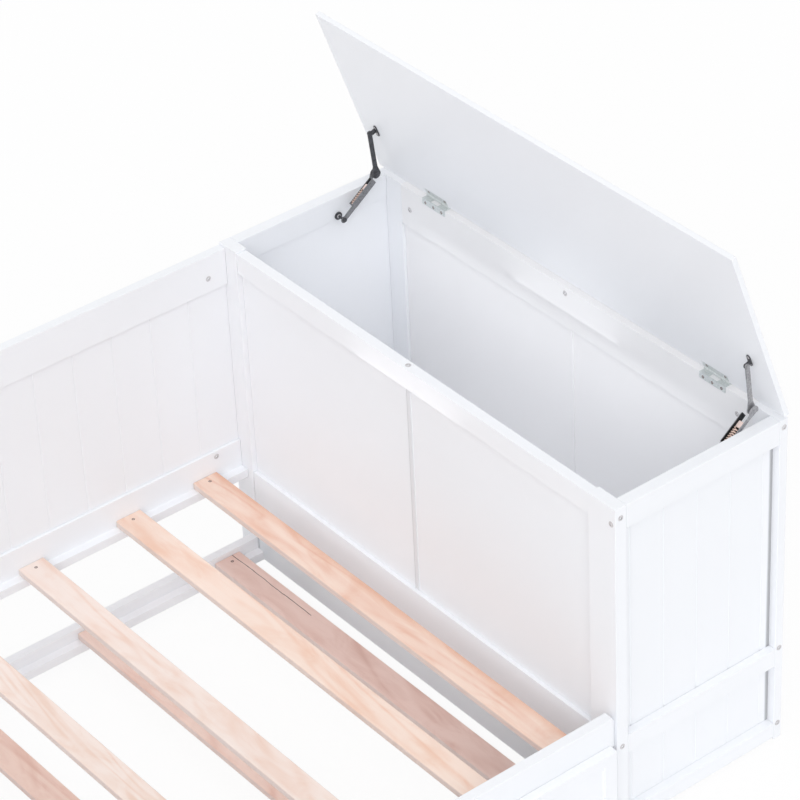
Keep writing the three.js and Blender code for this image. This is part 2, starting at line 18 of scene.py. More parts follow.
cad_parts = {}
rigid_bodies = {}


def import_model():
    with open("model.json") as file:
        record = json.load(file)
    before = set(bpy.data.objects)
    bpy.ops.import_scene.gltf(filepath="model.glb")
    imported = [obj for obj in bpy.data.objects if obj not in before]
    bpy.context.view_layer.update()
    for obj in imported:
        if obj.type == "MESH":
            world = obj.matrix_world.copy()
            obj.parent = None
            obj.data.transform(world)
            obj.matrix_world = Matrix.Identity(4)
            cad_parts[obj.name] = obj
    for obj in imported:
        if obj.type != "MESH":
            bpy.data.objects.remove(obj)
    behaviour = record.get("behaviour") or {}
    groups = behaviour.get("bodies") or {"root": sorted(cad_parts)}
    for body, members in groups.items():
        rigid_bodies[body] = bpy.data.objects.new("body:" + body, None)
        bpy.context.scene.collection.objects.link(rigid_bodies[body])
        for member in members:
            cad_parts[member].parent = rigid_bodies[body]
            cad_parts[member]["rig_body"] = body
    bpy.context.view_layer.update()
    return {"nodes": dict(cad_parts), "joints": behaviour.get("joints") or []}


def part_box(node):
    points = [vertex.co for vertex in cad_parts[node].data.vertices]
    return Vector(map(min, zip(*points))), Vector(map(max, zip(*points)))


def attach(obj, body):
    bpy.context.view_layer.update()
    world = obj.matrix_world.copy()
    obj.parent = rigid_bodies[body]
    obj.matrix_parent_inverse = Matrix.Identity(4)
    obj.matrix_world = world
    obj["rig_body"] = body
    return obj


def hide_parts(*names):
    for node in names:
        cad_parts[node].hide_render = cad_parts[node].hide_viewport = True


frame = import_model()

LOG = logging.getLogger("daybed")
MM = 0.001
PICTURE_PIXELS = 800
SENSOR_MM = 36.0
FULL_TURN = 2 * math.pi
ARC_STEP = 15.0
UP, DOWN = Vector((0, 0, 1)), Vector((0, 0, -1))
TO_FOOT, TO_FRONT, TO_BACK = Vector((-1, 0, 0)), Vector((0, -1, 0)), Vector((0, 1, 0))

# How rough each layer of cloudy noise is, and the value round which it lies
NOISE_ROUGH, NOISE_MIDDLE = 0.55, 0.5

# How nearly a face looks along an axis, and how near a place is taken as the same, in millimetres
LEVEL, SAME = 0.9, 0.1

# Which of a node's outputs is which
OBJECT_OUT, NORMAL_OUT, MIXED_OUT = 3, 1, 2
CAMERA_OUT, GLOSSY_OUT, TRANSMISSION_OUT = 0, 3, 6

Colour = tuple[float, float, float]
Outline = list[tuple[float, float]]
Span = tuple[float, float]
Piece = bpy.types.Object


class Axis(Enum):
    """One of the three axes, such as the one along which a board's grain runs."""

    X = 0
    Y = 1
    Z = 2


class End(Enum):
    """The bed's front and back, with the way from that end's rail to the middle of the box."""

    FRONT = 1
    BACK = -1

    @property
    def word(self) -> str:
        """The end's name inside the names of nodes."""
        return self.name.lower()


def linear(colour: Colour) -> tuple[float, float, float, float]:
    """Turns a screen colour of 0 to 255 into the linear colour that shaders take.

    Args:
        colour: Red, green and blue as a picture shows them.

    Returns:
        The linear colour with an alpha of 1.
    """
    shares = [part / 255 for part in colour]
    made = [s / 12.92 if s <= 0.04045 else ((s + 0.055) / 1.055) ** 2.4 for s in shares]
    return (made[0], made[1], made[2], 1.0)


def dimmed(colour: Colour, share: float) -> Colour:
    """A colour with each of its parts lowered to a share of itself."""
    return tuple(part * share for part in colour)


class Sock:
    """A shader socket on which Python's arithmetic adds Math nodes."""

    def __init__(self, graph: "Graph", socket: bpy.types.NodeSocket) -> None:
        """Keeps the socket and the graph that it belongs to."""
        self.graph = graph
        self.socket = socket

    def _math(self, operation: str, *values: "Value") -> "Sock":
        """Adds one Math node.

        Args:
            operation: The node's operation.
            values: Its inputs in order.

        Returns:
            The node's result.
        """
        return self.graph.node("ShaderNodeMath", {"operation": operation}, dict(enumerate(values)))

    def __add__(self, other: "Value") -> "Sock":
        """The sum."""
        return self._math("ADD", self, other)

    __radd__ = __add__

    def __sub__(self, other: "Value") -> "Sock":
        """The difference."""
        return self._math("SUBTRACT", self, other)

    def __mul__(self, other: "Value") -> "Sock":
        """The product."""
        return self._math("MULTIPLY", self, other)

    __rmul__ = __mul__

    def __pow__(self, other: "Value") -> "Sock":
        """The power."""
        return self._math("POWER", self, other)

    def __abs__(self) -> "Sock":
        """The value without its sign."""
        return self._math("ABSOLUTE", self)

    def sine(self) -> "Sock":
        """The sine."""
        return self._math("SINE", self)

    def below(self, limit: "Value") -> "Sock":
        """1 where the value is less than the limit and 0 elsewhere."""
        return self._math("LESS_THAN", self, limit)

    def above(self, limit: "Value") -> "Sock":
        """1 where the value is more than the limit and 0 elsewhere."""
        return self._math("GREATER_THAN", self, limit)

    def highest(self, other: "Value") -> "Sock":
        """The larger of two values."""
        return self._math("MAXIMUM", self, other)

    def between(self, low: float, high: float) -> "Sock":
        """Stretches the span from low to high onto 0 to 1 and cuts off the rest.

        Args:
            low: The value that becomes 0.
            high: The value that becomes 1.

        Returns:
            The stretched value.
        """
        inputs = {"Value": self, "From Min": low, "From Max": high}
        return self.graph.node("ShaderNodeMapRange", {"clamp": True}, inputs)


Value = Union[Sock, float]


class Graph:
    """The node tree of one material or of the world."""

    def __init__(self, tree: bpy.types.NodeTree, output: str) -> None:
        """Empties the tree and gives it its output node.

        Args:
            tree: The material's or the world's tree.
            output: The output node's type.
        """
        self.tree = tree
        self.tree.nodes.clear()
        self.output = self.tree.nodes.new(output)

    def node(
        self, kind: str, settings: dict | None = None, sockets: dict | None = None, out: int = 0
    ) -> Sock:
        """Adds a node.

        Args:
            kind: The node's type.
            settings: Its own settings, which are made first.
            sockets: Values or links for its inputs, by name or number.
            out: The number of the output that is wanted.

        Returns:
            That output.
        """
        made = self.tree.nodes.new(kind)
        for name, value in (settings or {}).items():
            setattr(made, name, value)
        for key, value in (sockets or {}).items():
            if isinstance(value, Sock):
                self.tree.links.new(value.socket, made.inputs[key])
            else:
                made.inputs[key].default_value = value
        return Sock(self, made.outputs[out])

    def coordinates(self) -> Sock:
        """The piece's own coordinates, in metres."""
        return self.node("ShaderNodeTexCoord", out=OBJECT_OUT)

    def normals(self) -> Sock:
        """The way that the piece's surface faces, in its own coordinates."""
        return self.node("ShaderNodeTexCoord", out=NORMAL_OUT)

    def part(self, vector: Sock, axis: Axis) -> Sock:
        """One axis's part of a vector."""
        return self.node("ShaderNodeSeparateXYZ", None, {0: vector}, out=axis.value)

    def placed(self, where: Sock, scale: Colour, shift: Colour = (0, 0, 0)) -> Sock:
        """Stretches and shifts coordinates.

        Args:
            where: The coordinates.
            scale: A factor for each axis.
            shift: A distance for each axis, added last.

        Returns:
            The new coordinates.
        """
        return self.node("ShaderNodeMapping", None, {"Vector": where, "Scale": scale, "Location": shift})

    def noise(self, where: Sock, scale: float, detail: float = 2.0, wander: float = 0.0) -> Sock:
        """Cloudy noise from 0 to 1.

        Args:
            where: The coordinates.
            scale: How many clouds there are to a metre.
            detail: How many finer layers it has.
            wander: How much it is swirled.

        Returns:
            The noise.
        """
        inputs = {"Vector": where, "Scale": scale, "Detail": detail, "Distortion": wander}
        return self.node("ShaderNodeTexNoise", None, {**inputs, "Roughness": NOISE_ROUGH})

    def blend(self, share: Value, low: Union[Sock, Colour], high: Union[Sock, Colour]) -> Sock:
        """Mixes two colours.

        Args:
            share: How much of the second colour there is.
            low: The first colour.
            high: The second colour.

        Returns:
            The mixed colour.
        """
        ends = [c if isinstance(c, Sock) else linear(c) for c in (low, high)]
        inputs = {0: share, 6: ends[0], 7: ends[1]}
        return self.node("ShaderNodeMix", {"data_type": "RGBA"}, inputs, out=MIXED_OUT)

    def bump(self, height: Sock, depth: float, strength: float, under: Sock | None = None) -> Sock:
        """Turns a height into a bumped normal.

        Args:
            height: The height from 0 to 1.
            depth: What a height of 1 stands for, in metres.
            strength: How much of it is used.
            under: The bumped normal on which it lies, if there is one.

        Returns:
            The normal.
        """
        inputs = {"Height": height, "Distance": depth, "Strength": strength}
        if under is not None:
            inputs["Normal"] = under
        return self.node("ShaderNodeBump", None, inputs)

    def surface(self, sockets: dict) -> None:
        """Ends the tree in a plain surface shader.

        Args:
            sockets: Values or links for the shader's inputs.
        """
        shader = self.node("ShaderNodeBsdfPrincipled", None, sockets)
        self.tree.links.new(shader.socket, self.output.inputs["Surface"])


class Finish:
    """A finish that makes its material once and hands it out again afterwards."""

    _made: dict["Finish", bpy.types.Material] = {}
    name: str

    def material(self) -> bpy.types.Material:
        """Makes the material, or finds it again.

        Returns:
            The material.
        """
        if self not in self._made:
            made = bpy.data.materials.new(self.name)
            made.use_nodes = True
            self.paint(Graph(made.node_tree, "ShaderNodeOutputMaterial"))
            self._made[self] = made
        return self._made[self]

    def paint(self, graph: Graph) -> None:
        """Builds the nodes.

        Args:
            graph: The material's empty tree.
        """
        raise NotImplementedError


@dataclass(frozen=True)
class Paint(Finish):
    """Satin paint on timber or board, with the grain or the roller's stipple just showing.

    Crevice shades are painted shade: bands at given places along X, each with its half width and its shade.
    """

    name: str
    colour: Colour
    grain: Axis = Axis.Z
    roughness: float = 0.4
    grain_depth: float = 0.00012
    stipple_depth: float = 0.00005
    cloud_scale: float = 2.5
    cloud_span: Span = (0.3, 0.75)
    cloud_shade: float = 0.988
    cloud_dulls: float = 0.06
    grain_stretch: tuple[float, float] = (70.0, 2.2)
    grain_scale: float = 4.0
    grain_wander: float = 0.4
    grain_strength: float = 0.35
    stipple_scale: float = 520.0
    stipple_strength: float = 0.4
    stipple_dulls: float = 0.05
    gloss: float = 0.04
    # An upright joint strip with painted shade on it and a painted shadow line along its far edge
    strip: Span | None = None
    strip_shades: tuple[float, float] = (0.93, 0.84)
    strip_edge: float = 0.3
    # Bands of painted shade in the crevices beside the posts, on the faces that look one way along Y
    seams: tuple[tuple[float, float, float], ...] = ()
    seam_way: float = 1.0
    seam_wander: float = 0.4
    seam_core: float = 0.5

    def paint(self, graph: Graph) -> None:
        """Builds the nodes.

        Args:
            graph: The material's empty tree.
        """
        where = graph.coordinates()
        broad = graph.noise(where, self.cloud_scale, detail=3)
        across_grain, along_grain = self.grain_stretch
        stretch = tuple(along_grain if axis is self.grain else across_grain for axis in Axis)
        fibres = graph.noise(graph.placed(where, stretch), self.grain_scale, 4, self.grain_wander)
        stipple = graph.noise(where, self.stipple_scale, detail=2)
        clouded = dimmed(self.colour, self.cloud_shade)
        colour = graph.blend(broad.between(*self.cloud_span), clouded, self.colour)
        # Painted shade on the joint strip, with a painted shadow line along its far edge
        if self.strip is not None:
            colour = self._strip(graph, where, colour)
        # Painted shade in the crevices beside the posts, only on the faces that look the given way along Y
        for place, half, shade in self.seams:
            outer = (graph.part(graph.normals(), Axis.Y) * self.seam_way).above(0.5)
            wander = (broad - NOISE_MIDDLE) * (half * self.seam_wander)
            off = abs(graph.part(where, Axis.X) - place + wander)
            share = off.between(half, half * self.seam_core) * outer
            colour = graph.blend(share, colour, dimmed(self.colour, shade))
        grained = graph.bump(fibres, self.grain_depth, self.grain_strength)
        normal = graph.bump(stipple, self.stipple_depth, self.stipple_strength, grained)
        roughness = self.roughness - self.gloss + broad * self.cloud_dulls + stipple * self.stipple_dulls
        graph.surface({"Base Color": colour, "Roughness": roughness, "Normal": normal})

    def _strip(self, graph: Graph, where: Sock, colour: Sock) -> Sock:
        """Paints shade on an upright joint strip, with a darker painted shadow line along its far edge.

        Args:
            graph: The material's tree.
            where: The coordinates.
            colour: The paint's colour so far.

        Returns:
            The colour with the strip.
        """
        middle, half = self.strip
        off = graph.part(where, Axis.Y) - middle
        shaded_strip_colour, shadow_line_colour = (dimmed(self.colour, shade) for shade in self.strip_shades)
        colour = graph.blend(abs(off).below(half), colour, shaded_strip_colour)
        return graph.blend(abs(off - half).below(half * self.strip_edge), colour, shadow_line_colour)


@dataclass(frozen=True)
class BareTimber(Finish):
    """Planed birch with lengthwise figure, which runs along Y as the slats do.

    A mark's span says between which values of its noise it fades in, and its share how far it shows.
    """

    name: str
    pale: Colour
    middle: Colour
    deep: Colour
    side: Colour = (222, 210, 206)
    seed: float = 0.0
    rings: float = 5.0
    swirl: float = 1.0
    ring_span: Span = (0.3, 1.0)
    cloud_span: Span = (0.3, 0.7)
    ring_share: float = 0.6
    blotch_share: float = 0.5
    blotch_span: Span = (0.5, 0.8)
    line_share: float = 0.5
    line_span: Span = (0.35, 0.6)
    line_power: float = 6.0
    fibre_share: float = 0.2
    fibre_span: Span = (0.55, 0.8)
    fleck_share: float = 0.25
    fleck_span: Span = (0.66, 0.8)
    side_share: float = 0.6
    side_span: Span = (0.75, 0.25)
    band: Span | None = None
    band_wander: float = 0.02
    band_share: float = 0.75
    crack: tuple[float, float, float] | None = None
    crack_colour: Colour = (70, 46, 40)
    crack_wander: float = 0.008
    crack_span: Span = (1.1 * MM, 0.3 * MM)
    crack_share: float = 0.85
    crack_depth: float = 6.0
    cloud_wander: float = 1.2
    hills: tuple[float, float] = (0.13, 9.0)
    fibres: tuple[float, float] = (0.018, 420.0)
    flecks: tuple[float, float] = (0.07, 900.0)
    clouds: tuple[float, float] = (0.3, 26.0)
    shift: tuple[float, float, float] = (0.37, 1.91, 0.53)
    depth: float = 0.00016
    strength: float = 0.6
    fibre_height: float = 0.6
    roughness: float = 0.58
    fibre_dulls: float = 0.14

    def paint(self, graph: Graph) -> None:
        """Builds the nodes.

        Args:
            graph: The material's empty tree.
        """
        where = graph.coordinates()
        hills = self._drawn(graph, where, self.hills, 1.5, self.swirl)
        rings = (hills * (FULL_TURN * self.rings)).sine() * 0.5 + 0.5
        fibres = self._drawn(graph, where, self.fibres, 4)
        flecks = self._drawn(graph, where, self.flecks, 2)
        clouds = self._drawn(graph, where, self.clouds, 4, self.cloud_wander)
        ringed, clouded = rings.between(*self.ring_span), clouds.between(*self.cloud_span)
        figure = ringed * self.ring_share + clouded * (1 - self.ring_share)
        colour = graph.blend(figure, self.pale, self.middle)
        marks = (
            clouds.between(*self.blotch_span) * self.blotch_share,
            (rings ** self.line_power) * clouds.between(*self.line_span) * self.line_share,
            fibres.between(*self.fibre_span) * self.fibre_share,
            flecks.between(*self.fleck_span) * self.fleck_share,
        )
        for mark in marks:
            colour = graph.blend(mark, colour, self.deep)
        along, across = graph.part(where, Axis.Y), graph.part(where, Axis.X)
        if self.band is not None:
            edge, width = self.band
            wander = (clouds - NOISE_MIDDLE) * self.band_wander
            share = (across + wander - edge).between(0.0, width)
            colour = graph.blend(share * self.band_share, colour, self.deep)
        upright = abs(graph.part(graph.normals(), Axis.Z))
        colour = graph.blend(upright.between(*self.side_span) * self.side_share, colour, self.side)
        height = fibres * self.fibre_height + rings * (1 - self.fibre_height)
        if self.crack is not None:
            start, end, place = self.crack
            inside = along.above(start) * along.below(end)
            line = abs(across - place + (clouds - NOISE_MIDDLE) * self.crack_wander)
            split = line.between(*self.crack_span) * inside
            colour = graph.blend(split * self.crack_share, colour, self.crack_colour)
            height = height - split * self.crack_depth
        normal = graph.bump(height, self.depth, self.strength)
        roughness = fibres * self.fibre_dulls + self.roughness
        graph.surface({"Base Color": colour, "Roughness": roughness, "Normal": normal})

    def _drawn(self, graph: Graph, where: Sock, size: Span, detail: float, wander: float = 0.0) -> Sock:
        """Noise that is drawn out along the slat and differs from slat to slat.

        Args:
            graph: The material's tree.
            where: The coordinates.
            size: The factor along the slat, and how many clouds there are to a metre across it.
            detail: How many finer layers it has.
            wander: How much it is swirled.

        Returns:
            The noise.
        """
        stretch, scale = size
        shift = tuple(self.seed * part for part in self.shift)
        return graph.noise(graph.placed(where, (1.0, stretch, 1.0), shift), scale, detail, wander)


@dataclass(frozen=True)
class PlatedSteel(Finish):
    """Bright or coated metal with a fine brushed and mottled surface."""

    name: str
    colour: Colour
    shade: Colour
    metallic: float = 1.0
    roughness: float = 0.34
    mottle: float = 260.0
    mottle_span: Span = (0.35, 0.7)
    mottle_wander: float = 0.3
    mottle_dulls: float = 0.18
    scratch: tuple[float, float] = (0.05, 1800.0)
    scratch_dulls: float = 0.1
    depth: float = 0.00006
    strength: float = 0.5

    def paint(self, graph: Graph) -> None:
        """Builds the nodes.

        Args:
            graph: The material's empty tree.
        """
        where = graph.coordinates()
        spots = graph.noise(where, self.mottle, 3, self.mottle_wander)
        stretch, fine = self.scratch
        scratches = graph.noise(graph.placed(where, (1.0, stretch, 1.0)), fine, detail=2)
        colour = graph.blend(spots.between(*self.mottle_span), self.colour, self.shade)
        mottled = self.roughness + (spots - NOISE_MIDDLE) * self.mottle_dulls
        roughness = mottled + (scratches - NOISE_MIDDLE) * self.scratch_dulls
        normal = graph.bump((spots + scratches) * 0.5, self.depth, self.strength)
        graph.surface(
            {"Base Color": colour, "Metallic": self.metallic, "Roughness": roughness, "Normal": normal}
        )


@dataclass(frozen=True)
class MouldedPlastic(Finish):
    """Dark moulded plastic with a spark-eroded grain."""

    name: str
    colour: Colour
    roughness: float = 0.5
    grain_scale: float = 900.0
    scuff_scale: float = 40.0
    scuff_span: Span = (0.55, 0.8)
    scuff_share: float = 0.4
    scuff_dulls: float = 0.2
    worn_gain: float = 1.5
    worn_lift: float = 8.0
    depth: float = 0.00008
    strength: float = 0.5

    def paint(self, graph: Graph) -> None:
        """Builds the nodes.

        Args:
            graph: The material's empty tree.
        """
        where = graph.coordinates()
        grain = graph.noise(where, self.grain_scale, detail=3)
        scuffs = graph.noise(where, self.scuff_scale, detail=4, wander=1.0)
        worn = tuple(min(255.0, part * self.worn_gain + self.worn_lift) for part in self.colour)
        colour = graph.blend(scuffs.between(*self.scuff_span) * self.scuff_share, self.colour, worn)
        roughness = self.roughness + scuffs * self.scuff_dulls
        normal = graph.bump(grain, self.depth, self.strength)
        graph.surface({"Base Color": colour, "Roughness": roughness, "Normal": normal})


WHITE = (248.0, 250.0, 254.0)
# The white of the box's inner faces, tinted less blue to stand in for their shaded tone
INNER_SHADED_WHITE = (248.0, 248.0, 250.0)
ZINC = PlatedSteel("zinc_plate", (226, 231, 231), (206, 212, 213), metallic=0.45, roughness=0.4)
NICKEL = PlatedSteel("nickel_head", (224, 222, 224), (196, 193, 196), metallic=0.35)
BRONZED = PlatedSteel("bronzed_screw", (150, 128, 120), (112, 92, 86), metallic=0.4)
COATED = PlatedSteel("dark_coated_steel", (84, 85, 89), (60, 61, 65), metallic=0.3, roughness=0.36)
# Paler copies of the coated steel, painted light for the reflections on the stays' arms and channels
HALF_LIT_STEEL = PlatedSteel("steel_painted_half_light", (142, 143, 146), (108, 109, 113), metallic=0.3, roughness=0.36)
LIT_STEEL = PlatedSteel("steel_painted_light", (178, 178, 181), (138, 138, 142), metallic=0.45, roughness=0.34)
# Painted shade: the near-black finish of the inside of the stays' channels, where there is only shade
POCKET_SHADE = PlatedSteel("pocket_shade_steel", (40, 40, 43), (26, 26, 28), metallic=0.2, roughness=0.6)
COPPER = PlatedSteel("copper_wire", (252, 228, 216), (240, 206, 190), metallic=0.1, roughness=0.32)
# Painted shadow: the dark finish of the recesses in heads, where there is only shade
RECESS_SHADE = MouldedPlastic("socket_shadow", (58, 48, 48), 0.7)
SLIDER = MouldedPlastic("slider_plastic", (240, 218, 211), 0.45)
TYRE = MouldedPlastic("wheel_plastic", (58, 58, 60))


def white(grain: Axis) -> Paint:
    """The outside paint on a board whose grain runs along an axis."""
    return Paint(f"white_paint_{grain.name.lower()}", WHITE, grain)


def inside(grain: Axis) -> Paint:
    """The duller paint of the box's inner faces, tinted less blue as they look in shade: a painted shade
    tint.
    """
    return Paint(f"inner_paint_{grain.name.lower()}", INNER_SHADED_WHITE, grain, roughness=0.5)


def only(made: list, kind: type) -> list:
    """The parts of one kind among what a bmesh operator has made."""
    return [part for part in made if isinstance(part, kind)]


class Maker:
    """Makes mesh objects and joins them to the frame."""

    @staticmethod
    def finish_mesh(name: str, bm: bmesh.types.BMesh, finishes: Iterable[Finish]) -> Piece:
        """Turns a bmesh into a piece with even shading.

        Args:
            name: The piece's name.
            bm: The shape, which is used up.
            finishes: The finishes, in the order of the faces' material numbers.

        Returns:
            The new piece.
        """
        mesh = bpy.data.meshes.new(name)
        for face in bm.faces:
            face.smooth = True
        bm.to_mesh(mesh)
        bm.free()
        for layer in ("custom_normal", "sharp_edge", "sharp_face"):
            if layer in mesh.attributes:
                mesh.attributes.remove(mesh.attributes[layer])
        for finish in finishes:
            mesh.materials.append(finish.material())
        piece = bpy.data.objects.new(name, mesh)
        bpy.context.scene.collection.objects.link(piece)
        return piece

    @staticmethod
    def weigh_normals(piece: Piece) -> None:
        """Makes the broad faces shade flat and the rounded edges shade round.

        Args:
            piece: The piece, which keeps the modifier live.
        """
        weighted = piece.modifiers.new("even_shading", "WEIGHTED_NORMAL")
        weighted.mode = "FACE_AREA"
        weighted.weight = 100
        weighted.keep_sharp = True

    @classmethod
    def dressed(
        cls, node: str, finish: Finish, slot: str, round_mm: float = 1.2, sharp: float = 50.0, steps: int = 3
    ) -> Piece:
        """Copies a solid of the frame, rounds its edges and lets the copy stand for it.

        Args:
            node: The solid's name.
            finish: Its finish.
            slot: Its material slot in the record.
            round_mm: The edges' radius in millimetres.
            sharp: The least turn of an edge that is rounded, in degrees.
            steps: How many faces there are round an edge.

        Returns:
            The dressed copy.
        """
        bm = bmesh.new()
        bm.from_mesh(frame["nodes"][node].data)
        bmesh.ops.remove_doubles(bm, verts=bm.verts, dist=0.01 * MM)
        bmesh.ops.dissolve_limit(bm, angle_limit=math.radians(0.5), verts=bm.verts, edges=bm.edges)
        cls.soften(bm, round_mm, sharp, steps)
        for face in bm.faces:
            face.material_index = 0
        return cls.stand_in(node, bm, [finish], slot, "dressed")

    @classmethod
    def stand_in(
        cls, node: str, bm: bmesh.types.BMesh, finishes: list[Finish], slot: str, how: str = "made"
    ) -> Piece:
        """Lets a shape built here stand for a solid of the frame.

        Args:
            node: The solid's name.
            bm: The shape, which is used up.
            finishes: The finishes, in the order of the faces' material numbers.
            slot: Its material slot in the record; not used.
            how: The word that follows the solid's name in the piece's name.

        Returns:
            The new piece.
        """
        piece = cls.finish_mesh(f"{node}_{how}", bm, finishes)
        cls.weigh_normals(piece)
        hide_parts(node)
        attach(piece, frame["nodes"][node]["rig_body"])
        return piece

    @staticmethod
    def slab(bm: bmesh.types.BMesh, corners: Iterable[Vector], rise: Vector) -> None:
        """Adds a plate to a shape.

        Args:
            bm: The shape.
            corners: The corners of the plate's first face, in order.
            rise: The way from that face to the opposite one.
        """
        face = bm.faces.new([bm.verts.new(c) for c in corners])
        made = bmesh.ops.extrude_face_region(bm, geom=[face])["geom"]
        bmesh.ops.translate(bm, vec=rise, verts=only(made, bmesh.types.BMVert))
        bmesh.ops.recalc_face_normals(bm, faces=bm.faces)

    @staticmethod
    def soften(bm: bmesh.types.BMesh, round_mm: float, sharp: float = 50.0, steps: int = 2) -> None:
        """Rounds all the sharp edges of a shape.

        Args:
            bm: The shape.
            round_mm: The edges' radius in millimetres.
            sharp: The least turn of an edge that is rounded, in degrees.
            steps: How many faces there are round an edge.
        """
        edges = [e for e in bm.edges if e.is_manifold and e.calc_face_angle() > math.radians(sharp)]
        bmesh.ops.bevel(
            bm,
            geom=edges,
            offset=round_mm * MM,
            affect="EDGES",
            segments=steps,
            profile=0.5,
            clamp_overlap=True,
            material=-1,
        )

    @classmethod
    def scattered(
        cls,
        name: str,
        template: bmesh.types.BMesh,
        places: Iterable[Matrix],
        finishes: list[Finish],
        body: str,
        slot: str,
    ) -> Piece:
        """Puts copies of one small shape in several places as one piece.

        Args:
            name: The piece's name.
            template: The shape, with its top at Z = 0 and facing +Z; it is used up.
            places: Where each copy goes.
            finishes: The finishes, in the order of the faces' material numbers.
            body: The body that it rides on.
            slot: Its material slot in the record; not used.

        Returns:
            The new piece.
        """
        stamp = bpy.data.meshes.new(f"{name}_stamp")
        template.to_mesh(stamp)
        template.free()
        whole = bmesh.new()
        for place in places:
            before = len(whole.verts)
            whole.from_mesh(stamp)
            whole.verts.ensure_lookup_table()
            bmesh.ops.transform(whole, matrix=place, verts=whole.verts[before:])
        bpy.data.meshes.remove(stamp)
        piece = cls.finish_mesh(name, whole, finishes)
        cls.weigh_normals(piece)
        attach(piece, body)
        return piece


def arc(middle: tuple[float, float], radius: float, start: float, stop: float) -> Outline:
    """Points on an arc.

    Args:
        middle: The arc's middle.
        radius: Its radius.
        start: The angle of its first point, in degrees.
        stop: The angle of its last point, in degrees.

    Returns:
        The points, about one to every ARC_STEP degrees.
    """
    count = max(2, round(abs(stop - start) / ARC_STEP))
    angles = [math.radians(start + (stop - start) * i / count) for i in range(count + 1)]
    return [(middle[0] + radius * math.cos(a), middle[1] + radius * math.sin(a)) for a in angles]


def circle(middle: tuple[float, float], radius: float) -> Outline:
    """The points of a whole circle, one to every ARC_STEP degrees."""
    return arc(middle, radius, 0, 360 - ARC_STEP)


def lid_joint() -> tuple[Vector, float]:
    """Finds the lid's joint.

    Returns:
        Its place, and how far it turns from open to shut, in radians.
    """
    hinge = next(j for j in frame["joints"] if j["name"] == "lid_hinge")
    return Vector(hinge["pos_m"]), math.radians(hinge["range_deg"][1])


def facing(point: Vector, way: Vector, turn: float = 0.0) -> Matrix:
    """A place whose +Z points a given way.

    Args:
        point: Where the place is.
        way: Where its +Z points.
        turn: How far it is turned about that way, in radians.

    Returns:
        The place.
    """
    aim = UP.rotation_difference(way.normalized()).to_matrix().to_4x4()
    return Matrix.Translation(point) @ aim @ Matrix.Rotation(turn, 4, "Z")


def turned(profile: Outline, sides: int) -> bmesh.types.BMesh:
    """Spins a profile about Z.

    Args:
        profile: Radii and heights in millimetres, from the top's middle outwards and down.
        sides: How many steps the spin has.

    Returns:
        The closed shape.
    """
    bm = bmesh.new()
    points = [bm.verts.new((radius * MM, 0.0, high * MM)) for radius, high in profile]
    edges = [bm.edges.new(pair) for pair in zip(points, points[1:])]
    bmesh.ops.spin(
        bm, geom=points + edges, cent=(0, 0, 0), axis=(0, 0, 1), angle=FULL_TURN, steps=sides, use_merge=True
    )
    bmesh.ops.remove_doubles(bm, verts=bm.verts, dist=0.001 * MM)
    bmesh.ops.recalc_face_normals(bm, faces=bm.faces)
    return bm


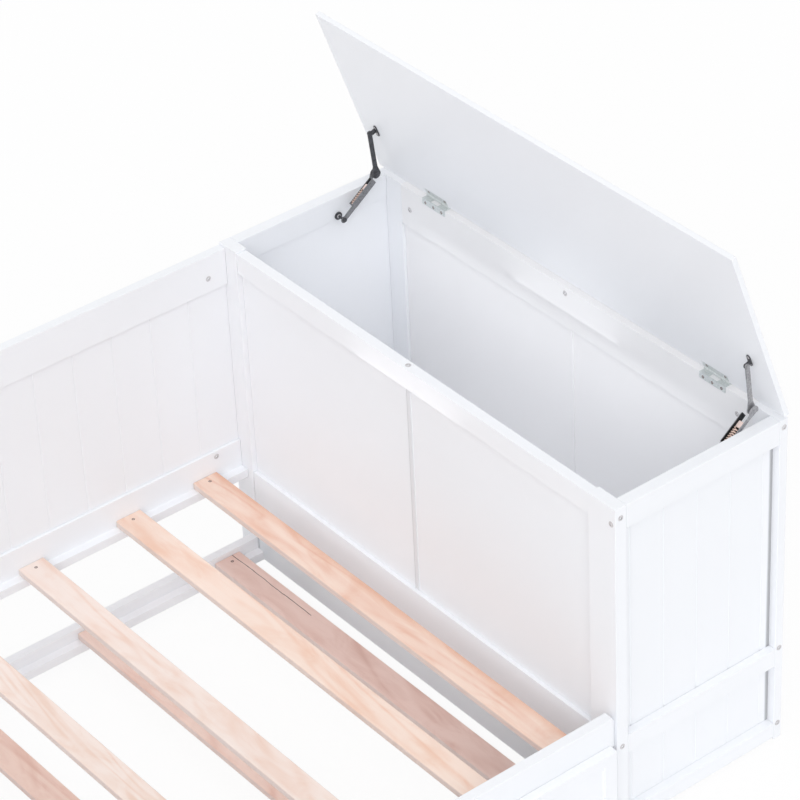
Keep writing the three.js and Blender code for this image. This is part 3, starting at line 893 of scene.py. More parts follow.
@dataclass
class Fixing:
    """A round head with a recess in it, in millimetres."""

    radius: float
    rise: float
    recess: float
    depth: float
    lip: float = 0.5
    rim_sides: int = 24
    cross_share: float = 0.24
    recess_taper: float = 0.85
    root: float = 0.6

    def hexagon(self) -> Outline:
        """The outline of a six-sided recess."""
        angles = [FULL_TURN * i / 6 for i in range(6)]
        return [(self.recess * math.cos(a), self.recess * math.sin(a)) for a in angles]

    def cross(self) -> Outline:
        """Draws a crossed recess.

        Returns:
            Its outline.
        """
        arm, half = self.recess, self.recess * self.cross_share
        quarter = [(arm, -half), (arm, half), (half, half)]
        points = []
        for i in range(4):
            cosine, sine = math.cos(FULL_TURN * i / 4), math.sin(FULL_TURN * i / 4)
            points += [(x * cosine - y * sine, x * sine + y * cosine) for x, y in quarter]
        return points

    def head(self, outline: Outline) -> bmesh.types.BMesh:
        """Builds the head; the recess has the second material, which paints shadow into it.

        Args:
            outline: The recess's outline.

        Returns:
            The head, with the face that it stands on at Z = 0.
        """
        bm = bmesh.new()
        inner = [bm.verts.new((x * MM, y * MM, self.rise * MM)) for x, y in outline]
        inner_edges = [bm.edges.new((a, b)) for a, b in zip(inner, inner[1:] + inner[:1])]
        top = bmesh.ops.create_circle(
            bm,
            cap_ends=False,
            segments=self.rim_sides,
            radius=(self.radius - self.lip) * MM,
            matrix=Matrix.Translation((0, 0, self.rise * MM)),
        )["verts"]
        rim = [e for e in bm.edges if e not in inner_edges]
        bmesh.ops.bridge_loops(bm, edges=rim + inner_edges)
        self._wall(bm, rim, self.radius / (self.radius - self.lip), -min(self.rise, self.lip))
        lower = self._newest(bm, top)
        self._wall(bm, lower, 1.0, -max(self.rise - self.lip, 0.0) - self.root)
        made = bmesh.ops.extrude_edge_only(bm, edges=inner_edges)["geom"]
        floor = only(made, bmesh.types.BMVert)
        bmesh.ops.scale(bm, vec=(self.recess_taper, self.recess_taper, 1.0), verts=floor)
        bmesh.ops.translate(bm, vec=(0, 0, -self.depth * MM), verts=floor)
        base = bmesh.ops.contextual_create(bm, geom=only(made, bmesh.types.BMEdge))["faces"]
        bmesh.ops.recalc_face_normals(bm, faces=bm.faces)
        for face in only(made, bmesh.types.BMFace) + base:
            face.material_index = 1
        return bm

    @staticmethod
    def _wall(bm: bmesh.types.BMesh, edges: list, spread: float, drop: float) -> None:
        """Draws a loop of edges down into a wall.

        Args:
            bm: The shape.
            edges: The loop.
            spread: A factor on the new loop's radius.
            drop: How far up the new loop goes, in millimetres.
        """
        made = bmesh.ops.extrude_edge_only(bm, edges=edges)["geom"]
        verts = only(made, bmesh.types.BMVert)
        bmesh.ops.scale(bm, vec=(spread, spread, 1.0), verts=verts)
        bmesh.ops.translate(bm, vec=(0, 0, drop * MM), verts=verts)

    @staticmethod
    def _newest(bm: bmesh.types.BMesh, near: list) -> list:
        """The open outer loop that was drawn last.

        Args:
            bm: The shape.
            near: The loop from which it was drawn.

        Returns:
            Its edges.
        """
        rim = set(near)
        drawn = [e for e in bm.edges if len(e.link_faces) == 1 and not rim.intersection(e.verts)]
        widest = max(max(v.co.xy.length for v in e.verts) for e in drawn)
        return [e for e in drawn if min(v.co.xy.length for v in e.verts) > widest * 0.98]


BOLT = Fixing(radius=5.6, rise=0.6, recess=2.2, depth=1.4)
WOOD_SCREW = Fixing(radius=3.2, rise=0.3, recess=2.1, depth=0.9, lip=0.8)
SMALL_SCREW = Fixing(radius=2.9, rise=0.4, recess=1.7, depth=0.8, lip=0.7)
LEAF_SCREW = Fixing(radius=2.9, rise=0.15, recess=1.7, depth=0.8, lip=0.7)
CAM = Fixing(radius=5.6, rise=0.5, recess=3.4, depth=1.0, lip=0.4)


@dataclass
class StorageBox:
    """The box across the bed's end: four posts, three framed sides, a floor and its bolts."""

    rails_along_x: tuple[str, ...] = (
        "front_end_top_rail",
        "front_end_mid_rail",
        "front_end_bottom_rail",
        "back_end_top_rail",
        "back_end_mid_rail",
        "back_end_bottom_rail",
    )
    rails_along_y: tuple[str, ...] = ("bed_side_top_rail", "bed_side_low_rail")
    sheets: tuple[str, ...] = ("front_end_panel", "back_end_panel")
    edge_mm: float = 0.8
    sheet_edge_mm: float = 0.4
    sheet_sharp: float = 60.0
    strip_half: float = 5 * MM
    # Half width and shade of the painted shade in the crevices beside the near and far posts
    near_crevice: tuple[float, float] = (5 * MM, 0.86)
    far_crevice: tuple[float, float] = (9 * MM, 0.7)
    bolt_inset: float = 12 * MM
    far_bolt_inset: float = 9 * MM
    bolt_drops: tuple[float, ...] = (21 * MM, 506 * MM)
    far_bolt_drops: tuple[float, ...] = (16 * MM, 489 * MM, 660 * MM)
    bolt_turns: tuple[float, float] = (60.0, 40.0)
    side_bolt_inset: float = 10 * MM
    side_bolt_drop: float = 33 * MM
    side_bolt_turn: float = 0.4
    top_cam_turn: float = 0.3
    far_cam_insets: tuple[float, float] = (37 * MM, 24 * MM)
    far_cam_drops: tuple[float, ...] = (14 * MM, 40 * MM, 46 * MM)
    far_cam_turns: tuple[float, ...] = (0.5, 0.9, 0.2)

    def build(self) -> list[Piece]:
        """Builds the box.

        Returns:
            Its pieces.
        """
        posts = [f"post_{side}_{end.word}" for side in ("bed", "far") for end in End]
        low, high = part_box("bed_side_panel")
        middle = (low.y + high.y) / 2
        # The bed side's sheet gets painted shade on its middle joint strip and a painted shadow line along
        # its far edge
        strip_shaded_paint = Paint("white_paint_strip_shade", WHITE, Axis.Z, strip=(middle, self.strip_half))
        pieces = self._boards(posts, white(Axis.Z), "white_paint")
        pieces += self._boards(self.rails_along_x, white(Axis.X), "white_paint")
        pieces += self._boards(self.rails_along_y, white(Axis.Y), "white_paint")
        pieces += [self._sheet(sheet, self._end_paint(sheet), "white_paint") for sheet in self.sheets]
        pieces.append(self._sheet("bed_side_panel", strip_shaded_paint, "white_paint"))
        pieces += self._boards(("far_top_rail", "far_low_rail"), inside(Axis.Y), "inner_paint")
        pieces.append(self._sheet("far_side_panel", inside(Axis.Z), "inner_paint"))
        pieces.append(Maker.dressed("box_floor", inside(Axis.Y), "inner_paint", self.sheet_edge_mm))
        pieces.append(self._bolts())
        pieces.append(self._cams())
        return pieces

    def _boards(self, nodes: Iterable[str], paint: Paint, slot: str) -> list[Piece]:
        """Posts and rails of one paint, with their edges rounded."""
        return [Maker.dressed(node, paint, slot, self.edge_mm) for node in nodes]

    def _sheet(self, node: str, paint: Paint, slot: str) -> Piece:
        """A thin sheet, whose shallow grooves keep their edges."""
        return Maker.dressed(node, paint, slot, self.sheet_edge_mm, sharp=self.sheet_sharp)

    def _end_paint(self, sheet: str) -> Paint:
        """The paint of an end's grooved sheet, with painted shade in the crevices beside the posts.

        Args:
            sheet: The sheet's name.

        Returns:
            Its paint.
        """
        low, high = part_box(sheet)
        near_half, near_shade = self.near_crevice
        far_half, far_shade = self.far_crevice
        seams = ((low.x, near_half, near_shade), (high.x, far_half, far_shade))
        way = -1.0 if sheet.startswith("front") else 1.0
        return Paint(f"{sheet}_paint", WHITE, Axis.Z, seams=seams, seam_way=way)

    def _bolts(self) -> Piece:
        """Builds the bolt heads on the posts.

        Returns:
            The heads as one piece.
        """
        places = []
        turn, far_turn = self.bolt_turns
        for end, way in ((End.FRONT, TO_FRONT), (End.BACK, TO_BACK)):
            near_low, near_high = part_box(f"post_bed_{end.word}")
            far_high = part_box(f"post_far_{end.word}")[1]
            x, far_x = near_low.x + self.bolt_inset, far_high.x - self.far_bolt_inset
            y = near_low.y if end is End.FRONT else near_high.y
            for drop in self.bolt_drops:
                places.append(facing(Vector((x, y, near_high.z - drop)), way, drop * turn))
            for drop in self.far_bolt_drops:
                places.append(facing(Vector((far_x, y, far_high.z - drop)), way, drop * far_turn))
            inset = self.side_bolt_inset * end.value
            point = Vector((near_low.x, y + inset, near_high.z - self.side_bolt_drop))
            places.append(facing(point, TO_FOOT, self.side_bolt_turn))
        head = BOLT.head(BOLT.hexagon())
        return Maker.scattered("box_bolts", head, places, [NICKEL, RECESS_SHADE], "frame", "zinc")

    def _cams(self) -> Piece:
        """Builds the cam fittings in the top rails and inside the box.

        Returns:
            The fittings as one piece.
        """
        near_low, near_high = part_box("bed_side_top_rail")
        far_low, far_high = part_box("far_top_rail")
        middle = (near_low.y + near_high.y) / 2
        front_inset, back_inset = self.far_cam_insets
        top = Vector(((near_low.x + near_high.x) / 2, middle, near_high.z))
        places = [facing(top, UP, self.top_cam_turn)]
        ys = (middle, far_low.y + front_inset, far_high.y - back_inset)
        for y, drop, turn in zip(ys, self.far_cam_drops, self.far_cam_turns):
            places.append(facing(Vector((far_low.x, y, far_high.z - drop)), TO_FOOT, turn))
        return Maker.scattered("box_cams", CAM.head(CAM.cross()), places, [NICKEL, RECESS_SHADE], "frame", "zinc")


@dataclass
class Lid:
    """The flat lid with its two butt hinges and their screws."""

    edge_mm: float = 1.0
    leaf_edge_mm: float = 0.3
    leaf_sharp: float = 40.0
    hinge_screw_inset: float = 9 * MM
    leaf_screw_drop: float = 6 * MM
    leaf_screw_turn: float = 0.3
    lid_screw_reach: float = 11 * MM
    lid_screw_turn: float = 0.6
    lid_leaf_under: float = 2.1 * MM

    def build(self) -> list[Piece]:
        """Builds the lid and its hinges.

        Returns:
            Their pieces.
        """
        pieces = [Maker.dressed("lid", white(Axis.Y), "white_paint", self.edge_mm)]
        for end in End:
            for side in ("rail", "lid"):
                leaf = f"hinge_{end.word}_{side}_leaf"
                pieces.append(Maker.dressed(leaf, ZINC, "zinc", self.leaf_edge_mm, self.leaf_sharp, steps=2))
            pieces += self._screws(end)
        return pieces

    def _screws(self, end: End) -> list[Piece]:
        """Builds the screws of one hinge.

        Args:
            end: Which hinge.

        Returns:
            The screws in the rail's leaf and those in the lid's.
        """
        low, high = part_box(f"hinge_{end.word}_rail_leaf")
        ys = [low.y + self.hinge_screw_inset, (low.y + high.y) / 2, high.y - self.hinge_screw_inset]
        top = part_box("far_top_rail")[1].z
        spots = [Vector((low.x, y, top - self.leaf_screw_drop)) for y in ys]
        on_rail = [facing(spot, TO_FOOT, self.leaf_screw_turn + spot.y) for spot in spots]
        pivot, angle = lid_joint()
        opened = Matrix.Translation(pivot) @ Matrix.Rotation(angle, 4, "Y") @ Matrix.Translation(-pivot)
        x, z = pivot.x - self.lid_screw_reach, top + self.lid_leaf_under
        shut = [Vector((x, y, z)) for y in (ys[0], ys[2])]
        on_lid = [opened @ facing(spot, DOWN, self.lid_screw_turn + spot.y) for spot in shut]
        pieces = []
        for side, places, body in (("rail", on_rail, "frame"), ("lid", on_lid, "lid")):
            head = LEAF_SCREW.head(LEAF_SCREW.cross())
            name = f"hinge_{end.word}_{side}_screws"
            pieces.append(Maker.scattered(name, head, places, [BRONZED, RECESS_SHADE], body, "zinc"))
        return pieces


@dataclass
class LidStay:
    """One sprung lid stay, in millimetres: along its channel, up from it, and inward along its pins."""

    end: End
    pocket: Span = (30.0, 91.0)
    web_end: float = 73.8
    wall_low: float = -6.0
    inner_wall: float = 8.0
    outer_wall: float = 2.0
    wall_notch: float = 2.0
    half_wide: float = 7.0
    sheet: float = 1.5
    eye: float = 7.0
    ear: float = 9.8
    ear_span: Span = (-60.0, 130.0)
    tongue_half: float = 5.5
    pin: float = 2.5
    pin_gap: float = 0.1
    pin_head: tuple[float, float] = (4.5, 2.0)
    wall_reach: float = 12.7
    pin_reach: float = 9.5
    disc: tuple[float, float] = (8.0, 2.5)
    arm_half: float = 4.5
    arm_head: float = 9.0
    arm_head_span: Span = (75.0, 285.0)
    arm_neck: float = 17.0
    arm_swell: tuple[float, float] = (7.0, 2.0)
    arm_end: float = 5.0
    arm_end_span: Span = (-64.0, 64.0)
    arm_rim: float = 1.6
    arm_dent: float = 0.7
    tab: Span = (2.0, 4.0)
    foot: Span = (10.7, 12.7)
    foot_half: float = 4.5
    foot_reach: float = 10.5
    foot_stretch: float = 1.25
    foot_screws: float = 0.75
    foot_screw_turn: float = 50.0
    head_thick: float = 1.2
    lid_pivot: tuple[float, float] = (-121.0, -16.5)
    spring: Span = (31.8, 65.0)
    spring_radius: float = 4.1
    spring_rise: float = 0.6
    wire_radius: float = 1.0
    turns: int = 7
    steps_per_turn: int = 20
    wire_sides: int = 8
    slider: Span = (65.5, 78.0)
    slider_half: tuple[float, float] = (5.2, 3.1)
    slider_drop: float = 1.3
    slider_round: float = 1.2
    slider_dish: tuple[float, float] = (1.0, 0.8)
    collar: tuple[float, float] = (3.8, 1.6)
    collar_lip: float = 0.6
    rivet: tuple[tuple[float, float], ...] = ((0, 1.5), (2.2, 1.4), (3.6, 0.9), (4.2, 0.3), (4.2, 0), (0, 0))
    round_sides: int = 24
    round_mm: float = 0.3

    def build(self) -> list[Piece]:
        """Builds the stay.

        Returns:
            Its pieces.
        """
        return [
            self._wall_bracket(),
            self._channel(),
            self._arm(),
            self._lid_bracket(),
            self._spring(),
            self._slider(),
            *self._heads(),
        ]

    def _name(self, part: str) -> str:
        """The name of one of the stay's nodes or pieces."""
        return f"stay_{self.end.word}_{part}"

    def _pivot(self, joint: str) -> Vector:
        """The place of one of the stay's joints.

        Args:
            joint: The end of the joint's name.

        Returns:
            Its place.
        """
        return Vector(next(j["pos_m"] for j in frame["joints"] if j["name"] == self._name(joint)))

    @staticmethod
    def _plane(start: Vector, stop: Vector) -> Matrix:
        """A place whose X runs from one point towards another and whose Y runs along the pins.

        Args:
            start: Where the place is.
            stop: The point towards which its X runs.

        Returns:
            The place.
        """
        along = (stop - start).normalized()
        pins = Vector((0, 1, 0))
        place = Matrix((along, pins, along.cross(pins))).transposed().to_4x4()
        place.translation = start
        return place

    def _channel_plane(self) -> Matrix:
        """The channel's place, from the wall pivot towards the elbow."""
        return self._plane(self._pivot("wall_pivot"), self._pivot("elbow"))

    def _lid_plane(self) -> Matrix:
        """Finds the pivot on the open lid.

        Returns:
            Its place beside the elbow, whose X runs towards the hinge and Z into the lid.
        """
        hinge, angle = lid_joint()
        run, rise = self.lid_pivot
        turn = Matrix.Rotation(angle, 4, "Y")
        place = Matrix.Translation(hinge) @ turn @ Matrix.Translation((run * MM, 0, rise * MM))
        place.translation.y = self._pivot("elbow").y
        return place

    def _plate(self, bm: bmesh.types.BMesh, outline: Outline, span: Span) -> None:
        """Adds a plate that lies across the pins.

        Args:
            bm: The shape.
            outline: The plate's outline along and up.
            span: Where it starts and stops, inward along the pins.
        """
        way = self.end.value * MM
        corners = [Vector((along * MM, span[0] * way, up * MM)) for along, up in outline]
        Maker.slab(bm, corners, Vector((0, (span[1] - span[0]) * way, 0)))

    def _ring(self, bm: bmesh.types.BMesh, radii: tuple[float, float], span: Span) -> None:
        """Adds a ring about the Y axis.

        Args:
            bm: The shape.
            radii: Its hole's radius and its own.
            span: Where it starts and stops, inward along the pins.
        """
        way = self.end.value * MM
        corners = [(radii[0], span[0]), (radii[1], span[0]), (radii[1], span[1]), (radii[0], span[1])]
        verts = [bm.verts.new((radius * MM, inward * way, 0)) for radius, inward in corners]
        edges = [bm.edges.new(pair) for pair in zip(verts, verts[1:] + verts[:1])]
        bmesh.ops.spin(
            bm,
            geom=verts + edges,
            cent=(0, 0, 0),
            axis=(0, 1, 0),
            angle=FULL_TURN,
            steps=self.round_sides,
            use_merge=True,
        )
        bmesh.ops.remove_doubles(bm, verts=bm.verts, dist=0.001 * MM)
        bmesh.ops.recalc_face_normals(bm, faces=bm.faces)

    def _placed(self, part: str, bm: bmesh.types.BMesh, place: Matrix) -> Piece:
        """Softens a steel shape, puts it in its place and lets it stand for a node.

        Args:
            part: The node's name within the stay.
            bm: The shape.
            place: Its place.

        Returns:
            The piece.
        """
        Maker.soften(bm, self.round_mm)
        bmesh.ops.transform(bm, matrix=place, verts=bm.verts)
        # The channel's second finish is painted shade inside its pocket
        finishes = [self._steel(part), POCKET_SHADE] if part == "channel" else [self._steel(part)]
        return Maker.stand_in(self._name(part), bm, finishes, "dark_steel")

    def _steel(self, part: str) -> Finish:
        """The steel of one part: the front stay's arm and both channels are paler, with painted light.

        Args:
            part: The part's name within the stay.

        Returns:
            Its steel.
        """
        if self.end is End.FRONT:
            return LIT_STEEL if part in ("arm", "channel") else COATED
        return HALF_LIT_STEEL if part == "channel" else COATED

    def _wall_bracket(self) -> Piece:
        """Builds the disc on the end rail and the pin that stands on it.

        Returns:
            The bracket.
        """
        bm = bmesh.new()
        radius, thick = self.disc
        head, head_thick = self.pin_head
        root, neck = thick - self.wall_reach, self.pin_reach - head_thick
        self._plate(bm, circle((0, 0), radius), (-self.wall_reach, root))
        self._plate(bm, circle((0, 0), self.pin), (root, neck))
        self._plate(bm, circle((0, 0), head), (neck, self.pin_reach))
        return self._placed("wall_bracket", bm, self._channel_plane())

    def _channel(self) -> Piece:
        """Builds the sprung channel: two walls, a web, the flat link to the eye and the elbow's pin.

        Returns:
            The channel.
        """
        bm = bmesh.new()
        elbow = (self._pivot("elbow") - self._pivot("wall_pivot")).length / MM
        start, end = self.pocket
        low, outer, inner, notch = self.wall_low, self.outer_wall, self.inner_wall, self.wall_notch
        half, sheet = self.half_wide, self.sheet
        clear, floor = half - sheet, low + sheet
        ear = arc((elbow, 0), self.ear, *self.ear_span)
        eared_wall = [(start, low), (elbow - self.eye, low), *ear, (end, outer), (start, outer)]
        self._plate(bm, eared_wall, (-half, -clear))
        everything = bm.verts[:] + bm.edges[:] + bm.faces[:]
        bmesh.ops.bisect_plane(bm, geom=everything, plane_co=(end * MM, 0, 0), plane_no=(1, 0, 0))
        plain_wall = [(start, low), (end, low), (end, inner - notch), (end - notch, inner), (start, inner)]
        self._plate(bm, plain_wall, (clear, half))
        self._grease(bm, Axis.Y, (-clear, clear), end)
        web = [(start, low), (self.web_end, low), (self.web_end, floor), (start, floor)]
        self._plate(bm, web, (-clear, clear))
        self._grease(bm, Axis.Z, (floor, floor), end)
        stop = [(start, floor), (start + sheet, floor), (start + sheet, inner / 2), (start, inner / 2)]
        self._plate(bm, stop, (-clear, clear))
        root, tongue = self.eye - sheet, self.tongue_half
        link = [(root, -tongue), (start, -tongue), (start, tongue), (root, tongue)]
        self._plate(bm, link, (clear + self.pin_gap, half - self.pin_gap))
        self._plate(bm, circle((elbow, 0), self.pin), (-clear, -sheet - self.pin_gap * 2))
        self._ring(bm, (self.pin + self.pin_gap, self.eye), (clear, half))
        return self._placed("channel", bm, self._channel_plane())

    @staticmethod
    def _grease(bm: bmesh.types.BMesh, across: Axis, levels: Span, reach: float) -> None:
        """Gives the faces that lie at certain levels the second finish, the pocket's painted shade.

        Args:
            bm: The channel so far.
            across: The axis across the faces.
            levels: How far along that axis they may be, in millimetres.
            reach: How far along the channel they are shaded, in millimetres.
        """
        for face in bm.faces:
            middle = face.calc_center_median() / MM
            is_flat = abs(face.normal[across.value]) > LEVEL
            is_near = min(abs(middle[across.value] - level) for level in levels) < SAME
            if is_flat and is_near and middle.x < reach:
                face.material_index = 1

    def _arm(self) -> Piece:
        """Builds the arm: a cam-shaped head at the elbow and a bar with a dent along both of its faces.

        Returns:
            The arm.
        """
        bm = bmesh.new()
        start, stop = self._pivot("elbow"), self._lid_plane().translation
        long = (stop - start).length / MM
        half, neck = self.arm_half, self.arm_neck
        swell_long, swell_high = self.arm_swell
        outline = [
            *arc((0, 0), self.arm_head, *self.arm_head_span),
            (neck, -half),
            *arc((long, 0), self.arm_end, *self.arm_end_span),
            (neck + swell_high, half),
            (neck + swell_high - swell_long, half + swell_high),
        ]
        self._plate(bm, outline, (-self.sheet, self.sheet))
        faces = [f for f in bm.faces if abs(f.normal.y) > LEVEL]
        bmesh.ops.inset_individual(bm, faces=faces, thickness=self.arm_rim * MM, depth=-self.arm_dent * MM)
        outer = (-self.sheet - self.head_thick, -self.sheet)
        self._plate(bm, circle((long, 0), self.arm_end - 1), outer)
        return self._placed("arm", bm, self._plane(start, stop))

    def _lid_bracket(self) -> Piece:
        """Builds the lid's bracket: a round-ended foot under the lid, a tab and the head of its pin.

        Returns:
            The bracket.
        """
        bm = bmesh.new()
        low, high = self.foot
        end, outer = self.arm_end, self.tab[1]
        self._plate(bm, [*arc((0, 0), end, -180, 0), (end, low), (-end, low)], self.tab)
        self._plate(bm, circle((0, 0), end - 1), (outer, outer + self.head_thick))
        reach, half = self.foot_reach, self.foot_half
        way = self.end.value * MM
        sole = [*arc((reach - half, 0), half, -90, 90), *arc((half - reach, 0), half, 90, 270)]
        stretch = self.foot_stretch * MM
        corners = [Vector((x * stretch, (y + self.tab[0] + half) * way, low * MM)) for x, y in sole]
        Maker.slab(bm, corners, Vector((0, 0, (high - low) * MM)))
        return self._placed("lid_bracket", bm, self._lid_plane())

    def _spring(self) -> Piece:
        """Winds the spring.

        Returns:
            The spring.
        """
        bm = bmesh.new()
        start, end = self.spring
        wire = self.wire_radius * MM
        upright = Matrix.Rotation(math.radians(90), 4, "X")
        place = Matrix.Translation((start * MM + wire, 0, self.spring_radius * MM)) @ upright
        axis = self._channel_plane() @ Matrix.Translation((0, 0, self.spring_rise * MM))
        sides = self.wire_sides
        ring = bmesh.ops.create_circle(bm, cap_ends=False, segments=sides, radius=wire, matrix=place)
        count = self.turns * self.steps_per_turn
        step = ((end - start) * MM - 2 * wire) / count
        bmesh.ops.spin(
            bm,
            geom=ring["verts"] + bm.edges[:],
            cent=(0, 0, 0),
            axis=(1, 0, 0),
            dvec=(step, 0, 0),
            angle=FULL_TURN * self.turns,
            steps=count,
            use_merge=False,
        )
        bmesh.ops.holes_fill(bm, edges=[e for e in bm.edges if e.is_boundary], sides=sides)
        bmesh.ops.recalc_face_normals(bm, faces=bm.faces)
        bmesh.ops.transform(bm, matrix=axis, verts=bm.verts)
        return Maker.stand_in(self._name("spring"), bm, [COPPER], "copper_wire")

    def _slider(self) -> Piece:
        """Builds the pale block that presses the spring.

        Returns:
            The block.
        """
        bm = bmesh.new()
        start, stop = self.slider
        across, up = self.slider_half
        size = Matrix.Diagonal(((stop - start) * MM, across * 2 * MM, up * 2 * MM, 1.0))
        middle = Matrix.Translation(((start + stop) / 2 * MM, 0, -self.slider_drop * MM))
        bmesh.ops.create_cube(bm, size=1.0, matrix=middle @ size)
        bmesh.ops.bevel(
            bm,
            geom=bm.edges[:],
            offset=self.slider_round * MM,
            affect="EDGES",
            segments=3,
            profile=0.5,
            material=-1,
        )
        ends = [f for f in bm.faces if f.normal.x < -LEVEL and f.calc_center_median().x < (start + 1) * MM]
        rim, dish = self.slider_dish
        bmesh.ops.inset_region(bm, faces=ends, thickness=rim * MM, depth=-dish * MM)
        bmesh.ops.transform(bm, matrix=self._channel_plane(), verts=bm.verts)
        slider = Maker.finish_mesh(self._name("slider"), bm, [SLIDER])
        Maker.weigh_normals(slider)
        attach(slider, self._name("channel"))
        return slider

    def _heads(self) -> list[Piece]:
        """Builds the riveted head at the elbow, the pale collar on the disc and the lid's two screws.

        Returns:
            The heads.
        """
        inward = Vector((0, self.end.value, 0))
        elbow = self._pivot("elbow") + inward * (self.sheet + self.pin_gap * 2) * MM
        root = self._pivot("wall_pivot") + inward * (self.disc[1] - self.wall_reach) * MM
        pin, lip = self.pin + self.pin_gap, self.collar_lip
        wide, thick = self.collar
        ring = [(pin, thick), (wide - lip, thick), (wide, thick - lip), (wide, 0), (pin, 0), (pin, thick)]
        across = (self.tab[0] + self.foot_half) * self.end.value * MM
        spread = self.foot_reach * self.foot_screws
        spots = [Vector((x * MM, across, self.foot[0] * MM)) for x in (-spread, spread)]
        screws = [self._lid_plane() @ facing(s, DOWN, s.x * self.foot_screw_turn) for s in spots]
        rivet = turned(list(self.rivet), self.round_sides)
        collar = turned(ring, self.round_sides)
        screw = SMALL_SCREW.head(SMALL_SCREW.cross())
        at_elbow, at_root = [facing(elbow, inward)], [facing(root, inward)]
        channel = self._name("channel")
        return [
            Maker.scattered(self._name("elbow_rivet"), rivet, at_elbow, [COATED], channel, "dark_steel"),
            Maker.scattered(self._name("pin_collar"), collar, at_root, [NICKEL], "frame", "zinc"),
            Maker.scattered(self._name("lid_screws"), screw, screws, [NICKEL, RECESS_SHADE], "lid", "zinc"),
        ]


def tint(pale: Colour, middle: Colour, deep: Colour, **more: object) -> dict[str, object]:
    """The colours of one slat, with whatever else is its own."""
    return {"pale": pale, "middle": middle, "deep": deep, **more}


BED_SLAT_TINTS: tuple[dict, ...] = (
    tint((246, 221, 206), (239, 204, 187), (229, 178, 152), swirl=1.6, band=(-0.006, 0.02)),
    tint((247, 226, 213), (243, 213, 196), (235, 192, 168), swirl=0.8),
    tint((246, 231, 223), (243, 221, 210), (235, 203, 186), swirl=1.4),
    tint((247, 232, 224), (243, 222, 211), (234, 202, 184), swirl=2.4, rings=7.0),
    tint((240, 212, 200), (233, 196, 180), (220, 168, 146), swirl=1.8),
    tint((247, 228, 216), (243, 216, 201), (234, 194, 172), swirl=1.0),
    tint((246, 223, 208), (240, 207, 190), (229, 182, 158), swirl=2.0),
    tint((247, 232, 222), (243, 221, 208), (234, 200, 182), swirl=1.2),
    tint((246, 224, 210), (240, 209, 192), (230, 186, 162), swirl=1.6),
)

TRUNDLE_SLAT_TINTS: tuple[dict, ...] = (
    tint((242, 216, 207), (235, 205, 195), (216, 177, 165), crack=(0.23, 0.53, 0.012)),
    tint((247, 222, 211), (241, 210, 198), (225, 182, 166)),
    tint((245, 220, 208), (238, 206, 194), (221, 178, 162)),
    tint((243, 216, 206), (235, 204, 192), (218, 176, 162)),
    tint((247, 221, 210), (240, 208, 196), (224, 180, 164)),
    tint((244, 216, 205), (236, 203, 191), (220, 176, 160)),
)


@dataclass
class SlatRow:
    """A row of slats, each with its own figure and a screw at each end."""

    prefix: str
    tints: tuple[dict, ...]
    body: str
    slot: str
    screw_inset: float = 17 * MM
    screw_turn: float = 1.3
    seeds: tuple[float, float] = (1.0, 1.7)
    round_mm: float = 2.4

    def build(self) -> list[Piece]:
        """Builds the slats.

        Returns:
            Their pieces.
        """
        names = [name for name in frame["nodes"] if name.startswith(self.prefix)]
        names.sort(key=lambda name: int(name.removeprefix(self.prefix)))
        pieces, places = [], []
        for number, name in enumerate(names):
            low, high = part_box(name)
            middle = (low.x + high.x) / 2
            pieces.append(Maker.dressed(name, self._finish(name, number, middle), self.slot, self.round_mm))
            for y in (low.y + self.screw_inset, high.y - self.screw_inset):
                places.append(facing(Vector((middle, y, high.z)), UP, number * self.screw_turn + y))
        screw = WOOD_SCREW.head(WOOD_SCREW.cross())
        name = f"{self.prefix}screws"
        pieces.append(Maker.scattered(name, screw, places, [BRONZED, RECESS_SHADE], self.body, "zinc"))
        return pieces

    def _finish(self, name: str, number: int, middle: float) -> BareTimber:
        """The finish of one slat.

        Args:
            name: The slat's name.
            number: Its place in the row.
            middle: Where its middle is along X.

        Returns:
            Its finish, with bands and cracks moved to where the slat lies.
        """
        own = dict(self.tints[number % len(self.tints)])
        if "band" in own:
            edge, width = own["band"]
            own["band"] = (middle - edge, width)
        if "crack" in own:
            start, end, place = own["crack"]
            own["crack"] = (start, end, middle + place)
        first, step = self.seeds
        return BareTimber(f"{name}_timber", seed=first + number * step + len(self.prefix), **own)


